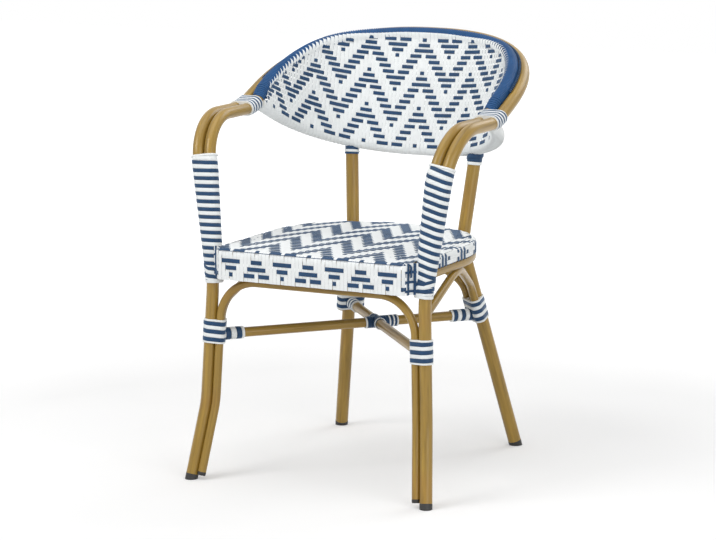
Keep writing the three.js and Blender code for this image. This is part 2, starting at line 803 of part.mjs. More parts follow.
// Front arch: beside the front legs, and across under the apron
const archGap = hoopRadius + archRadius + clearance;
const besideLeg = (point) => at(point.x - archGap, point.y, point.z);
const archFoot = besideLeg(along(foot, knee, archFootHeight + archCapLength));
const archKnee = besideLeg(knee);
const archTop = apronBottom - clearance - archRadius;
const archCorner = besideLeg(along(knee, waist, archTop));
const archCorners = [archFoot, archKnee, archCorner];
const frontArchBendRadius = archTop - legWrapTop;
const frontArchPath = bent(
  [...archCorners, ...archCorners.map(mirrored).reverse()],
  [kneeBendRadius, frontArchBendRadius, frontArchBendRadius, kneeBendRadius],
);
const archBore = footBore(archFoot, footAxis, archRadius, thinSides);
const archBoreLeft = facingOut(archBore.clone().scale(-1, 1, 1));
add("front_arch", cut(tube(frontArchPath, archRadius, thinSides), archBore, archBoreLeft), bamboo());

// Side arches: from behind each front leg, up under the seat rail and down before the rear leg
const nest = 2 * Math.asin((archRadius + clearance / 2) / archGap);
const sideFrontOffset = at(-archGap * Math.cos(nest), archGap * Math.sin(nest), 0);
const rearLegAt = (height) => along(rearFoot, rearKnee, height);
const frontLegAt = (height) => along(knee, waist, height);
const rearArchGap = rearRadius + archRadius + clearance;
const stretcherFront = frontLegAt(stretcherHeight);
const stretcherRear = rearLegAt(stretcherHeight);
const stretcherRun = stretcherRear.clone().sub(mirrored(stretcherFront)).normalize();
const splay = Math.asin((archRadius + stretcherRadius + 2 * clearance) / rearArchGap);
const towardsFront = Math.atan2(-stretcherRun.y, -stretcherRun.x);
const fromLeg = (angle) => at(rearArchGap * Math.cos(angle), rearArchGap * Math.sin(angle), 0);
const sideRearOffset = fromLeg(towardsFront + splay);
const rearArchOffset = fromLeg(towardsFront - splay);
const archLeave = legWrapTop + archLeaveShare * (seatRailHeight - legWrapTop);
const archBelow = seatRailRadius + archRadius + clearance;
const archDrop = Math.sqrt(Math.max(archBelow ** 2 - sideArchInset ** 2, 0));
const apex = at(
  seatHalfWidth - seatRailInset - sideArchInset,
  seatCurveStart,
  seatRailHeight - archDrop,
);

const sideLow = frontLegAt(legWrapBottom).add(sideFrontOffset);
const sideBend = frontLegAt(archLeave).add(sideFrontOffset);
const sideRearBend = rearLegAt(archLeave).add(sideRearOffset);
const sideRearLow = rearLegAt(legWrapBottom).add(sideRearOffset);
const sidePeak = cornerPast(apex, sideBend, sideRearBend, sideArchBendRadius);
const sidePath = bent(
  [sideLow, sideBend, sidePeak, sideRearBend, sideRearLow],
  [archFootBendRadius, sideArchBendRadius, archFootBendRadius],
);
addPair("side_arch", tube(sidePath, archRadius, thinSides), bamboo);

// Rear arch: between the rear legs, up under the seat rail
const rearLow = rearLegAt(legWrapBottom).add(rearArchOffset);
const rearLeave = rearLegAt(archLeave).add(rearArchOffset);
const rearApex = at(0, seatCurve(Math.PI / 2, seatRailInset).y, seatRailHeight - archBelow);
const rearPeak = cornerPast(rearApex, rearLeave, mirrored(rearLeave), rearArchBendRadius);
const rearArchPath = bent(
  [rearLow, rearLeave, rearPeak, mirrored(rearLeave), mirrored(rearLow)],
  [archFootBendRadius, rearArchBendRadius, archFootBendRadius],
);
add("rear_arch", tube(rearArchPath, archRadius, thinSides), bamboo());

// Bindings
const pairBundle = (offset) => [
  { x: 0, y: 0, r: hoopRadius },
  { x: offset, y: 0, r: hoopRadius },
];
const armLean = Math.cos(Math.atan2(elbow.x - waist.x, elbow.z - waist.z));

function armBundle(distance) {
  const height = outerRoute.getPoint(outerRoute.shareAt(distance)).z;
  const share = THREE.MathUtils.clamp((height - armTaperFoot) / (armTaperTop - armTaperFoot), 0, 1);
  return pairBundle(Math.max(clearance, share * pairPitch * armLean));
}

const armBinding = {
  route: outerRoute,
  side: inward,
  bundle: armBundle,
  layer: clearance,
  sides: strandSides,
};
const armFrom = outerRoute.distanceWhere("z", apronBottom) + strandWidth / 2;
const armTo = outerRoute.distanceWhere("z", armWrapTop) - strandWidth / 2;
const armTurns = (armTo - armFrom) / windingPitch - 1 / 2;
const armWhite = winding("arm_wrap_white", armBinding, armFrom, armTurns);
const armBlue = winding("arm_wrap_blue", armBinding, armFrom + windingPitch / 2, armTurns);
addPair("arm_wrap_white", armWhite, whiteStrand);
addPair("arm_wrap_blue", armBlue, blueStrand);

// A white sleeve with blue strand wound on it, with white left at both ends.
function addBinding(name, binding, from, length, place) {
  const turns = Math.floor(length / windingPitch);
  const start = from + (length - turns * windingPitch) / 2;
  const base = sleeve(binding, from, from + length, binding.cuts ?? 1);
  const wound = { ...binding, layer: 2 * clearance + baseThickness };
  const strand = winding(name, wound, start, turns);
  place(name + "_base", base, whiteStrand);
  place(name + "_strand", strand, blueStrand);
}

const jointBinding = {
  cuts: jointWrapCuts,
  route: outerRoute,
  side: inward,
  bundle: () => pairBundle(pairPitch),
  layer: clearance,
  sides: strandSides,
};
addBinding("back_joint", jointBinding, jointEnd - jointWrapLength, jointWrapLength, addPair);

const frontLegRoute = new Route([knee, waist]);
const frontLegStart = frontLegRoute.distanceWhere("z", legWrapBottom);
const frontBundle = [
  { x: 0, y: 0, r: hoopRadius },
  { x: archGap * Math.cos(nest), y: -archGap * Math.sin(nest), r: archRadius },
  { x: archGap, y: 0, r: archRadius },
];
const frontLegBinding = {
  route: frontLegRoute,
  side: inward,
  bundle: () => frontBundle,
  layer: clearance,
  sides: strandSides,
};
addBinding("front_leg_joint", frontLegBinding, frontLegStart, legWrapHeight, addPair);

const rearLegRoute = new Route([rearFoot, rearKnee]);
const rearLegStart = rearLegRoute.distanceWhere("z", legWrapBottom);
const rearFrame = frameAt(rearLegRoute, rearLegStart, inward);
const inRearFrame = (offset) => ({
  x: offset.dot(rearFrame.x),
  y: offset.dot(rearFrame.y),
  r: archRadius,
});
const rearBundle = [{ x: 0, y: 0, r: rearRadius }, inRearFrame(rearArchOffset), inRearFrame(sideRearOffset)];
const rearLegBinding = {
  route: rearLegRoute,
  side: inward,
  bundle: () => rearBundle,
  layer: clearance,
  sides: strandSides,
};
addBinding("rear_leg_joint", rearLegBinding, rearLegStart, legWrapHeight, addPair);

// Crossed stretchers: one whole, the other in two halves that meet it
// Each stops short of the leg's binding, whose lean its own binding has to clear too.
const bindingDepth = 2 * clearance + baseThickness + strandThickness;
const sleeveRadius = stretcherRadius + bindingDepth;

function bindingReach(binding, distance, direction) {
  const frame = frameAt(binding.route, distance, inward);
  const x = direction.dot(frame.x);
  const y = direction.dot(frame.y);
  const outline = bandOutline(binding.bundle(), bindingDepth, binding.sides);
  const slope = Math.abs(direction.dot(frame.tangent)) * sleeveRadius;
  return Math.max(...outline.map((p) => p.x * x + p.y * y)) + slope + clearance;
}

const backwards = stretcherRun.clone().negate();
const frontRun = mirrored(stretcherRun);
const frontReach = bindingReach(frontLegBinding, frontLegStart, frontRun);
const rearReachOut = bindingReach(rearLegBinding, rearLegStart, backwards);
const stretcherStart = mirrored(stretcherFront).addScaledVector(stretcherRun, frontReach);
const stretcherEnd = stretcherRear.clone().addScaledVector(stretcherRun, -rearReachOut);
const wholeStretcher = tube([stretcherStart, stretcherEnd], stretcherRadius, tubeSides);
add("stretcher_whole", wholeStretcher, bamboo());

const crossing = stretcherStart.clone().lerp(
  stretcherEnd,
  stretcherStart.x / (stretcherStart.x - stretcherEnd.x),
);
const copeTool = tube(
  [stretcherStart, stretcherEnd],
  stretcherRadius + clearance,
  tubeSides,
);
const halfFront = tube([mirrored(stretcherStart), crossing], stretcherRadius, tubeSides);
const halfRear = tube([mirrored(stretcherEnd), crossing], stretcherRadius, tubeSides);
add("stretcher_front_half", cut(halfFront, copeTool), bamboo());
add("stretcher_rear_half", cut(halfRear, copeTool), bamboo());

// Binding of the crossing: four short sleeves that meet in the middle
function crossArms(radius, reach) {
  const leg = (direction) => {
    const from = crossing.clone().addScaledVector(direction, -reach);
    const to = crossing.clone().addScaledVector(direction, reach);
    return solidOf(tube([from, to], radius, tubeSides));
  };
  return leg(stretcherRun).add(leg(mirrored(stretcherRun)));
}

const crossShell = crossArms(stretcherRadius + clearance + crossWrapThickness, crossWrapReach)
  .subtract(crossArms(stretcherRadius + clearance, crossWrapReach + overrun));
add("cross_wrap", geometryOf(crossShell), blueStrand());

// Bindings where the stretchers meet the legs
function addSleeve(name, from, direction) {
  const before = from.clone().addScaledVector(direction, -overrun);
  const after = from.clone().addScaledVector(direction, sleeveLength + overrun);
  const route = new Route([before, after]);
  const binding = {
    route,
    side: at(0, 0, 1),
    bundle: () => [{ x: 0, y: 0, r: stretcherRadius }],
    layer: clearance,
    sides: sleeveSides,
  };
  addBinding(name, binding, overrun + clearance, sleeveLength, addPair);
}

addSleeve("front_sleeve", mirrored(stretcherStart), frontRun);
addSleeve("rear_sleeve", stretcherEnd, backwards);

// Feet: a cap under each tube with a spigot in its bore, cut level at the floor
function floorTool(ground, radius) {
  const side = 2 * (radius + overrun);
  const made = new THREE.BoxGeometry(side, side, overrun);
  return facingOut(merged(made.translate(ground.x, ground.y, -overrun / 2)));
}

function glide(ground, axis, radius) {
  const top = glideHeight - clearance;
  const spigot = spigotRadius(radius);
  const low = -radius * Math.tan(axis.angleTo(at(0, 0, 1))) - clearance;
  const profile = [
    [0, low], [radius, low], [radius, top], [spigot, top], [spigot, glideHeight + spigotLength],
    [0, glideHeight + spigotLength],
  ];
  return cut(turned(profile, tubeSides, ground, axis), floorTool(ground, radius));
}

addPair("front_glide", glide(foot, footAxis, hoopRadius), blackPlastic);
addPair("rear_glide", glide(rearFoot, rearAxis, rearRadius), blackPlastic);

const capBottom = -archCapLength;
const capSpigot = spigotRadius(archRadius);
const capProfile = [
  [0, capBottom], [archRadius, capBottom], [archRadius, -clearance], [capSpigot, -clearance],
  [capSpigot, spigotLength], [0, spigotLength],
];
addPair("arch_cap", turned(capProfile, thinSides, archFoot, footAxis), blackPlastic);

// The origin lies on the floor under the middle of the chair.
const frontmost = -hoopRadius / Math.cos(Math.atan2(footAxis.y, footAxis.z));
const rearmost = backStart + backDepth + hoopRadius;
chair.position.y = -(frontmost + rearmost) / 2;

export default chair;
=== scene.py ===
"""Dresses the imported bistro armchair: painted tube, woven seat and back, bound joints."""

import math
from bisect import bisect_right

import bmesh
import bpy
import numpy as np
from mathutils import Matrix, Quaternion, Vector


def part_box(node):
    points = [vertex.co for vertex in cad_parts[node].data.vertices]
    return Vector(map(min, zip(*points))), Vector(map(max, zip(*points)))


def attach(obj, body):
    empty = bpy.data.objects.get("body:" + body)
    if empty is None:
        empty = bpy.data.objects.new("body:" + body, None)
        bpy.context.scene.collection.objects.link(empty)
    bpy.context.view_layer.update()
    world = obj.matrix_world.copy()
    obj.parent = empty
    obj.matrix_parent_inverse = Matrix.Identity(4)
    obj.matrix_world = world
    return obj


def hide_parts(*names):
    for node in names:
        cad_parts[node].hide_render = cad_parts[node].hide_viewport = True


bl_info = {
    "name": "Woven Bistro Armchair",
    "version": (1, 0, 0),
    "blender": (4, 5, 0),
    "location": "View3D > Sidebar > Bistro Chair",
    "description": "Weaves and binds a bistro armchair round its packed tube frame",
    "category": "Add Mesh",
}

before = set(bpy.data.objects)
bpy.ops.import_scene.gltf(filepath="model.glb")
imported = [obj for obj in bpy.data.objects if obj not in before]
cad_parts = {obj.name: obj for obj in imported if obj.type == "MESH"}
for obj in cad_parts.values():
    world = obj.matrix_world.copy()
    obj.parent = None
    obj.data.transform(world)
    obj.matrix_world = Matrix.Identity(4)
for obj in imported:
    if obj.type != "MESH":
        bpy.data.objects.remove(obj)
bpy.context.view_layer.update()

# The tube frame, in metres. Setbacks count from the front feet.
FRONT = -0.27483
CLEAR = 0.0003
HOOP_RADIUS, INNER_RADIUS, REAR_RADIUS = 0.012, 0.0112, 0.013
ARCH_RADIUS, STRETCHER_RADIUS, RAIL_RADIUS = 0.008, 0.0095, 0.0095
LOWER_RADIUS, PAIR_PITCH = 0.010, 0.0248
SEAT_TOP, BAND_BOTTOM, APRON_BOTTOM = 0.452, 0.425, 0.393
SEAT_FRONT, SEAT_CURVE_START = 0.010, 0.250
SEAT_CURVE = (0.210, 0.197, 2.3)
FRONT_HALF_WIDTH = 0.201
RAIL_HEIGHT = 0.41769
BACK_START, BACK_START_HEIGHT, RIM_SLOPE = 0.304, 0.716, 0.436
RIM_CURVE = (0.2745, 0.246, 2.4)
LOWER_CURVE = (0.242, 0.2065, 2.4)
LOWER_START, LOWER_HEIGHT, LOWER_SLOPE = 0.2725, 0.597, 0.478
STRETCHER_HEIGHT, LEG_WRAP_BOTTOM, LEG_WRAP_TOP = 0.277, 0.263, 0.309
WAIST_HEIGHT = 0.385
TAPER_FOOT, TAPER_TOP, INNER_END = 0.300, 0.590, 0.602
JOINT_SETBACK, JOINT_LENGTH, ARCH_FOOT = 0.268, 0.041, 0.015
NOTCH = (0.031, 0.0646, 0.2015)  # where the arms pass the seat: two setbacks and a half width
TUBE_START = 0.010  # how far above its foot a leg's tube starts
LEG_SHORT, STRETCHER_SHORT = 0.011, 0.012  # how far before the middle of the next tube they end
HOOP_BENDS = (0.18, 0.26, 0.115, 0.14)
REAR_LEG_BEND, ARCH_FOOT_BEND, SIDE_ARCH_BEND, REAR_ARCH_BEND = 0.06, 0.05, 0.13, 0.075
SIDE_ARCH_INSET = 0.006
FRAME_INSET, FRAME_HEIGHT, FRAME_RADIUS = 0.013887, 0.43811, 0.0115
CROSS_BAR_SETBACK, CROSS_BAR_HEIGHT, CROSS_BAR_RADIUS = 0.245, 0.441, 0.0075
FRONT_FRAME_SETBACK, FRONT_FRAME_HEIGHT, FRONT_FRAME_RADIUS = 0.0212, 0.402, 0.0085
FRAME_HALF_WIDTH, FRONT_FRAME_TOP, FRONT_FRAME_BEND = 0.183, 0.4405, 0.015


def at(x, setback, z):
    return Vector((x, FRONT + setback, z))


def mirror(point):
    return Vector((-point.x, point.y, point.z))


def mirrored(points):
    """The same points on the other side, in reverse."""
    return [mirror(p) for p in reversed(points)]


def level(a, b, height):
    """The point of a straight at a height."""
    return a.lerp(b, (height - a.z) / (b.z - a.z))


def flat_way(angle):
    """A level direction, counted from the right side towards the rear."""
    return Vector((math.cos(angle), math.sin(angle), 0))


def ahead_of(angle):
    """A level direction, counted from straight ahead towards the right."""
    return Vector((math.sin(angle), -math.cos(angle), 0))


def smooth(share):
    share = min(max(share, 0.0), 1.0)
    return share * share * (3 - 2 * share)


def halve(test, low, high, steps):
    """Closes in on the place between low and high where a test starts to hold."""
    for _ in range(steps):
        middle = (low + high) / 2
        low, high = (low, middle) if test(middle) else (middle, high)
    return low, high


# Curves and paths
def bend_of(left, corner, right, radius):
    before, after = left - corner, right - corner
    room = min(before.length, after.length) / 2
    turn = math.pi - before.angle(after)
    return before.normalized(), after.normalized(), turn, min(radius * math.tan(turn / 2), room)


def rounded(corners, radii, step=math.radians(4)):
    """Straights through corners, joined by bends."""
    path = [corners[0].copy()]
    for left, corner, right, radius in zip(corners, corners[1:], corners[2:], radii):
        before, after, turn, reach = bend_of(left, corner, right, radius)
        centre = corner + (before + after).normalized() * (reach / math.sin(turn / 2))
        start = corner + before * reach - centre
        axis = start.cross(corner + after * reach - centre)
        steps = max(2, math.ceil(turn / step))
        path += [centre + Quaternion(axis, turn * k / steps) @ start for k in range(steps + 1)]
    return path + [corners[-1].copy()]


def corner_past(middle, left, right, radius):
    """The corner whose bend passes through a given middle."""
    corner = middle.copy()
    for _ in range(8):
        before, after, turn, reach = bend_of(left, corner, right, radius)
        corner = middle - (before + after).normalized() * (reach * math.tan(turn / 4))
    return corner


def curve_point(curve, facing, inset=0.0):
    """The point of a superellipse that faces a direction, moved inwards by an inset."""
    half_width, depth, roundness = curve
    power = roundness / (roundness - 1)
    c, s = math.cos(facing), abs(math.sin(facing))
    size = ((half_width * abs(c)) ** power + (depth * s) ** power) ** (1 / power)
    x = math.copysign(half_width * (half_width * abs(c) / size) ** (power - 1), c)
    y = depth * (depth * s / size) ** (power - 1)
    return x - inset * c, y - inset * s


def rim_point(facing, inset=PAIR_PITCH):
    flat = curve_point(RIM_CURVE, facing)
    x, y = curve_point(RIM_CURVE, facing, inset)
    return at(x, BACK_START + y, BACK_START_HEIGHT + RIM_SLOPE * flat[1])


RIM_TURN = math.radians(24)
RIM_TURN_END, RIM_TURN_REACH = 0.262, 0.045
ASIDE_START, ASIDE_REACH = 0.15, 0.7
FACING_STEP = 0.01


def aside(facing):
    """How far a facing lies to the side: 0 behind, 1 at the joints."""
    return smooth((abs(math.cos(facing)) - ASIDE_START) / ASIDE_REACH)


def rim_turn(facing, setback):
    """How far the inner hoop rises above the outer one: at the sides, but not behind or in the joints."""
    return RIM_TURN * aside(facing) * smooth((setback - RIM_TURN_END) / RIM_TURN_REACH)


def above(across, tangent):
    """The upward direction square to a tube and to a side."""
    upward = across.cross(tangent).normalized()
    return -upward if upward.z < 0 else upward


def pair_side(tangent, inward, turn):
    """From the outer hoop to the inner one."""
    return (inward * math.cos(turn) + above(inward, tangent) * math.sin(turn)) * PAIR_PITCH


def rim_tangent(facing):
    return rim_point(facing + FACING_STEP, 0) - rim_point(facing - FACING_STEP, 0)


def inner_point(facing):
    outer = rim_point(facing, 0)
    inward = (rim_point(facing) - outer).normalized()
    return outer + pair_side(rim_tangent(facing), inward, rim_turn(facing, outer.y - FRONT))


def rail_point(facing, offset=0.0):
    on_rail = curve_point(LOWER_CURVE, facing)[1]
    x, y = curve_point(LOWER_CURVE, facing, -offset)
    return at(x, LOWER_START + y, LOWER_HEIGHT + LOWER_SLOPE * (LOWER_CURVE[1] - on_rail))


def seat_edge(facing, inset=0.0, z=0.0):
    x, y = curve_point(SEAT_CURVE, facing, inset)
    return at(x, SEAT_CURVE_START + y, z)


class Path:
    """A line through points, read by the distance along it."""

    def __init__(self, points):
        self.points = points
        self.reach = [0.0]
        for a, b in zip(points, points[1:]):
            self.reach.append(self.reach[-1] + (b - a).length)
        self.length = self.reach[-1]

    def locate(self, distance):
        """The stretch in which a distance lies, and its share of it."""
        low = min(max(bisect_right(self.reach, distance) - 1, 0), len(self.points) - 2)
        return low, (distance - self.reach[low]) / max(self.reach[low + 1] - self.reach[low], 1e-9)

    def at(self, distance):
        low, share = self.locate(distance)
        return self.points[low].lerp(self.points[low + 1], share)

    def tangent(self, distance, span=0.002):
        return (self.at(distance + span) - self.at(distance - span)).normalized()

    def where(self, axis, value):
        for i, (a, b) in enumerate(zip(self.points, self.points[1:])):
            if (a[axis] - value) * (b[axis] - value) <= 0 and a[axis] != b[axis]:
                share = (value - a[axis]) / (b[axis] - a[axis])
                return self.reach[i] + share * (self.reach[i + 1] - self.reach[i])
        return self.length


class Ribbon(Path):
    """A line on a surface, with its normals."""

    def __init__(self, points, normals):
        super().__init__(points)
        self.normals = normals

    def spot(self, distance):
        """The point and the normal at a distance."""
        low, share = self.locate(distance)
        return self.at(distance), self.normals[low].lerp(self.normals[low + 1], share).normalized()

    def first(self, test):
        """The first distance at which a test of the point holds."""
        for a, b, point, following in zip(self.reach, self.reach[1:], self.points, self.points[1:]):
            if test(following) and not test(point):
                return halve(lambda d: test(self.at(d)), a, b, 20)[1]
        return None


# The chair's own lines
FACINGS = [math.pi * i / 96 for i in range(97)]
FOOT, KNEE = at(0.250, 0, 0), at(0.2335, 0.035, 0.148)
WAIST, ELBOW = at(0.2237, 0.0462, WAIST_HEIGHT), at(0.2726, 0.0623, 0.691)
ARM_END, RIM_START = at(0.2745, 0.24666, 0.691), at(0.2745, BACK_START, BACK_START_HEIGHT)
FOOT_AXIS = (KNEE - FOOT).normalized()
OUTER_SIDE = rounded([FOOT + FOOT_AXIS * TUBE_START, KNEE, WAIST, ELBOW, ARM_END, RIM_START], HOOP_BENDS)
OUTER = Path(OUTER_SIDE + [rim_point(f, 0) for f in FACINGS[1:-1]] + mirrored(OUTER_SIDE))
INWARD, UP = Vector((-1, 0, 0)), Vector((0, 0, 1))


def inner_side():
    """The inner hoop in an arm, from inside its winding to the rim."""
    arm = [OUTER.at(OUTER.where(1, RIM_START.y) * k / 240) for k in range(241)]
    line = []
    for before, point, after in zip(arm, arm[1:], arm[2:]):
        if point.z > INNER_END:
            line.append(point + pair_side(after - before, INWARD, rim_turn(0, point.y - FRONT)))
    return line


INNER_SIDE = inner_side()
INNER = Path(INNER_SIDE + [inner_point(f) for f in FACINGS[1:-1]] + mirrored(INNER_SIDE))
REAR_TOUCH = seat_edge(math.radians(63), -(REAR_RADIUS + CLEAR), RAIL_HEIGHT)
REAR_FOOT, REAR_TOP = at(0.198, 0.532, 0), rail_point(math.radians(66), 0.006)
REAR_KNEE = corner_past(REAR_TOUCH, REAR_FOOT, REAR_TOP, REAR_LEG_BEND)
REAR_AXIS = (REAR_KNEE - REAR_FOOT).normalized()
ARCH_GAP = HOOP_RADIUS + ARCH_RADIUS + CLEAR
NEST = 2 * math.asin((ARCH_RADIUS + CLEAR / 2) / ARCH_GAP)
SIDE_FRONT_OFFSET = Vector((-ARCH_GAP * math.cos(NEST), ARCH_GAP * math.sin(NEST), 0))
STRETCHER_FRONT = level(KNEE, WAIST, STRETCHER_HEIGHT)
STRETCHER_REAR = level(REAR_FOOT, REAR_KNEE, STRETCHER_HEIGHT)
RUN = (STRETCHER_REAR - mirror(STRETCHER_FRONT)).normalized()
REAR_GAP = REAR_RADIUS + ARCH_RADIUS + CLEAR
SPLAY = math.asin((ARCH_RADIUS + STRETCHER_RADIUS + 2 * CLEAR) / REAR_GAP)
HEADING = math.atan2(-RUN.y, -RUN.x)
SIDE_REAR_OFFSET = Vector((REAR_GAP * math.cos(HEADING + SPLAY), REAR_GAP * math.sin(HEADING + SPLAY), 0))
REAR_ARCH_OFFSET = Vector((REAR_GAP * math.cos(HEADING - SPLAY), REAR_GAP * math.sin(HEADING - SPLAY), 0))
ARCH_LEAVE = 0.3389
CROSSING = mirror(STRETCHER_FRONT) + RUN * (STRETCHER_FRONT.x / RUN.x)


# Mesh making: a grid rolled up to a closed bar once for each length, whose rings are set along a path
BARS = {}
BEVEL = math.radians(50)


def bar(sides, rings):
    """A closed straight bar: its mesh, and the ring and side of each of its vertices and corners."""
    if (sides, rings) in BARS:
        return BARS[sides, rings]
    bm = bmesh.new()
    bmesh.ops.create_grid(bm, x_segments=rings - 1, y_segments=sides, size=0.5)
    place = {v: (round((v.co.x + 0.5) * (rings - 1)), round((v.co.y + 0.5) * sides)) for v in bm.verts}
    at_place = {spot: v for v, spot in place.items()}
    seam = {at_place[ring, sides]: at_place[ring, 0] for ring in range(rings)}
    for v, (ring, side) in place.items():
        angle = 2 * math.pi * side / sides
        v.co = (math.cos(angle), math.sin(angle), ring)
    bmesh.ops.weld_verts(bm, targetmap=seam)
    ends = [edge for edge in bm.edges if edge.is_boundary]
    caps = bmesh.ops.holes_fill(bm, edges=ends, sides=sides)["faces"]
    place = {v: (round(v.co.z), round(math.atan2(v.co.y, v.co.x) / (2 * math.pi) * sides) % sides)
             for v in bm.verts}
    corners = []
    for face in bm.faces:
        sides_met = [place[v][1] for v in face.verts]
        wraps = face not in caps and 0 in sides_met and sides - 1 in sides_met
        for v in face.verts:
            ring, side = place[v]
            corners.append(((sides if wraps and side == 0 else side) / sides, ring))
    order = np.array([place[v] for v in bm.verts])
    bm.loops.layers.uv.new("along")
    mesh = bpy.data.meshes.new("bar")
    bm.to_mesh(mesh)
    bm.free()
    BARS[sides, rings] = (mesh, order, np.array(corners))
    return BARS[sides, rings]


def new_piece():
    bm = bmesh.new()
    bm.loops.layers.uv.new("along")
    return bm


def lay(bm, stations, section):
    """Lays a bar along stations (place, sideways, outwards) with a section of (across, out) pairs,
    or with a list of sections, one for each station."""
    sections = np.array(section)
    if sections.ndim == 2:
        sections = np.broadcast_to(sections, (len(stations),) + sections.shape)
    mesh, order, corners = bar(sections.shape[1], len(stations))
    frames = np.array([[tuple(v) for v in station] for station in stations])
    ring, side = order[:, 0], order[:, 1]
    outline = sections[ring, side]
    spots = frames[ring, 0] + frames[ring, 1] * outline[:, :1] + frames[ring, 2] * outline[:, 1:]
    mesh.vertices.foreach_set("co", spots.astype(np.float32).ravel())
    steps = np.linalg.norm(np.diff(frames[:, 0], axis=0), axis=1)
    reach = np.concatenate([[0.0], np.cumsum(steps)])
    along = np.stack([corners[:, 0], reach[corners[:, 1].astype(int)]], axis=1)
    mesh.uv_layers["along"].data.foreach_set("uv", along.astype(np.float32).ravel())
    bm.from_mesh(mesh)


def round_section(radius, sides=24):
    angles = [2 * math.pi * i / sides for i in range(sides)]
    return [(radius * math.cos(a), radius * math.sin(a)) for a in angles]


def strand_section(width, thickness, groove=0.35):
    """A flat strand, rounded at its edges, with a shallow groove along its middle."""
    w, t = width / 2, thickness / 2
    return [
        (w, 0), (0.86 * w, 0.75 * t), (0.5 * w, t), (0, t * (1 - groove)), (-0.5 * w, t),
        (-0.86 * w, 0.75 * t), (-w, 0), (-0.8 * w, -t), (0.8 * w, -t),
    ]


def lay_tube(bm, points, radius, sides=24):
    """A round tube along points, whose section doesn't twist."""
    stations = []
    last = len(points) - 1
    sideways = None
    for i, point in enumerate(points):
        onward, behind = points[min(i + 1, last)] - point, point - points[max(i - 1, 0)]
        tangent = (onward.normalized() + behind.normalized()).normalized()
        if sideways is None:
            sideways = UP if abs(tangent.z) < 0.9 else Vector((1, 0, 0))
        sideways = (sideways - tangent * sideways.dot(tangent)).normalized()
        stations.append((point, sideways, tangent.cross(sideways)))
    lay(bm, stations, round_section(radius, sides))


def lay_strand(bm, points, normals, section):
    """A flat strand along points of a surface, lying square to the normals."""
    stations = []
    last = len(points) - 1
    for i, (point, normal) in enumerate(zip(points, normals)):
        tangent = points[min(i + 1, last)] - points[max(i - 1, 0)]
        sideways = tangent.cross(normal).normalized()
        stations.append((point, sideways, sideways.cross(tangent).normalized()))
    lay(bm, stations, section)


def flip(bm):
    """Puts a piece on the other side of the chair."""
    bmesh.ops.scale(bm, vec=(-1, 1, 1), verts=bm.verts)


def finish_piece(name, bm, kind, nodes=()):
    """Turns a bmesh into a piece that rides on the frame, with a finish that is made once."""
    slot, material, make, colour, *values = FINISHES[kind]
    if material not in bpy.data.materials:
        make(material, tuple(getattr(bpy.context.scene.bistro_chair, colour)), *values)
    bmesh.ops.recalc_face_normals(bm, faces=bm.faces)
    mesh = bpy.data.meshes.new(name)
    bm.to_mesh(mesh)
    bm.free()
    mesh.shade_smooth()
    mesh.set_sharp_from_angle(angle=BEVEL)
    mesh.materials.append(bpy.data.materials[material])
    piece = bpy.data.objects.new(name, mesh)
    bpy.context.scene.collection.objects.link(piece)
    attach(piece, "root")
    if nodes:
        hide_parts(*nodes)


# Windings: a strand round one or more tubes
WINDING_GROOVE = 0.1


def cross_frame(path, distance, towards):
    """The plane square to a path: its origin, its tangent, and x towards the given side."""
    tangent = path.tangent(distance)
    x = (towards - tangent * towards.dot(tangent)).normalized()
    return path.at(distance), tangent, x, tangent.cross(x)


class Bundle:
    """Tubes side by side along a path, given as circles (x, y, radius) or as circles at a distance."""

    def __init__(self, path, towards, circles):
        self.path, self.towards = path, towards
        self.circles = circles if callable(circles) else lambda distance: circles

    def hull(self, distance, angle, layer):
        """The point of a tight band round the tubes that faces an angle."""
        c, s = math.cos(angle), math.sin(angle)
        x, y, r = max(self.circles(distance), key=lambda k: k[0] * c + k[1] * s + k[2])
        return x + (r + layer) * c, y + (r + layer) * s

    def shares(self, distance, layer, count):
        """How far round the band each of its points lies, from 0 to 1."""
        points = [self.hull(distance, 2 * math.pi * i / count, layer) for i in range(count + 1)]
        reach = [0.0]
        for a, b in zip(points, points[1:]):
            reach.append(reach[-1] + math.dist(a, b))
        return [r / reach[-1] for r in reach]

    def station(self, spot, distance, angle, layer, hand=1):
        """A place on a strand round the tubes: the section of a distance, laid at a spot of the path."""
        origin, tangent, x, y = cross_frame(self.path, spot, self.towards)
        px, py = self.hull(distance, angle, layer)
        return origin + x * px + y * py, tangent * hand, x * math.cos(angle) + y * math.sin(angle)

    def wind(self, bm, layer, start, pitch, turns, width, thickness, count, hand=1):
        """Winds a flat strand round the tubes."""
        stations = []
        for k in range(round(turns * count) + 1):
            turn, i = divmod(k, count)
            if i == 0:
                middle = start + turn * pitch
                shares = self.shares(middle, layer, count)
            distance = middle + shares[i] * pitch
            angle = hand * 2 * math.pi * i / count
            stations.append(self.station(distance, distance, angle, layer + thickness / 2, hand))
        lay(bm, stations, strand_section(width, thickness, WINDING_GROOVE))

    def ring(self, bm, distance, tilt, layer, width, thickness=0.0014, count=32):
        """A closed ring of strand round the tubes, which may rise on one side."""
        stations = []
        for i in range(count + 1):
            angle = 2 * math.pi * i / count
            spot = distance - tilt * math.cos(angle)
            stations.append(self.station(spot, distance, angle, layer + thickness / 2))
        lay(bm, stations, strand_section(width, thickness, WINDING_GROOVE))

    def sleeve(self, bm, start, end, layer, rings=6, count=36):
        """A closed skin round the tubes, which carries a winding."""
        stations, sections = [], []
        for k in range(rings + 1):
            distance = start + (end - start) * k / rings
            origin, tangent, x, y = cross_frame(self.path, distance, self.towards)
            stations.append((origin, x, y))
            sections.append([self.hull(distance, 2 * math.pi * i / count, layer) for i in range(count)])
        lay(bm, stations, sections)


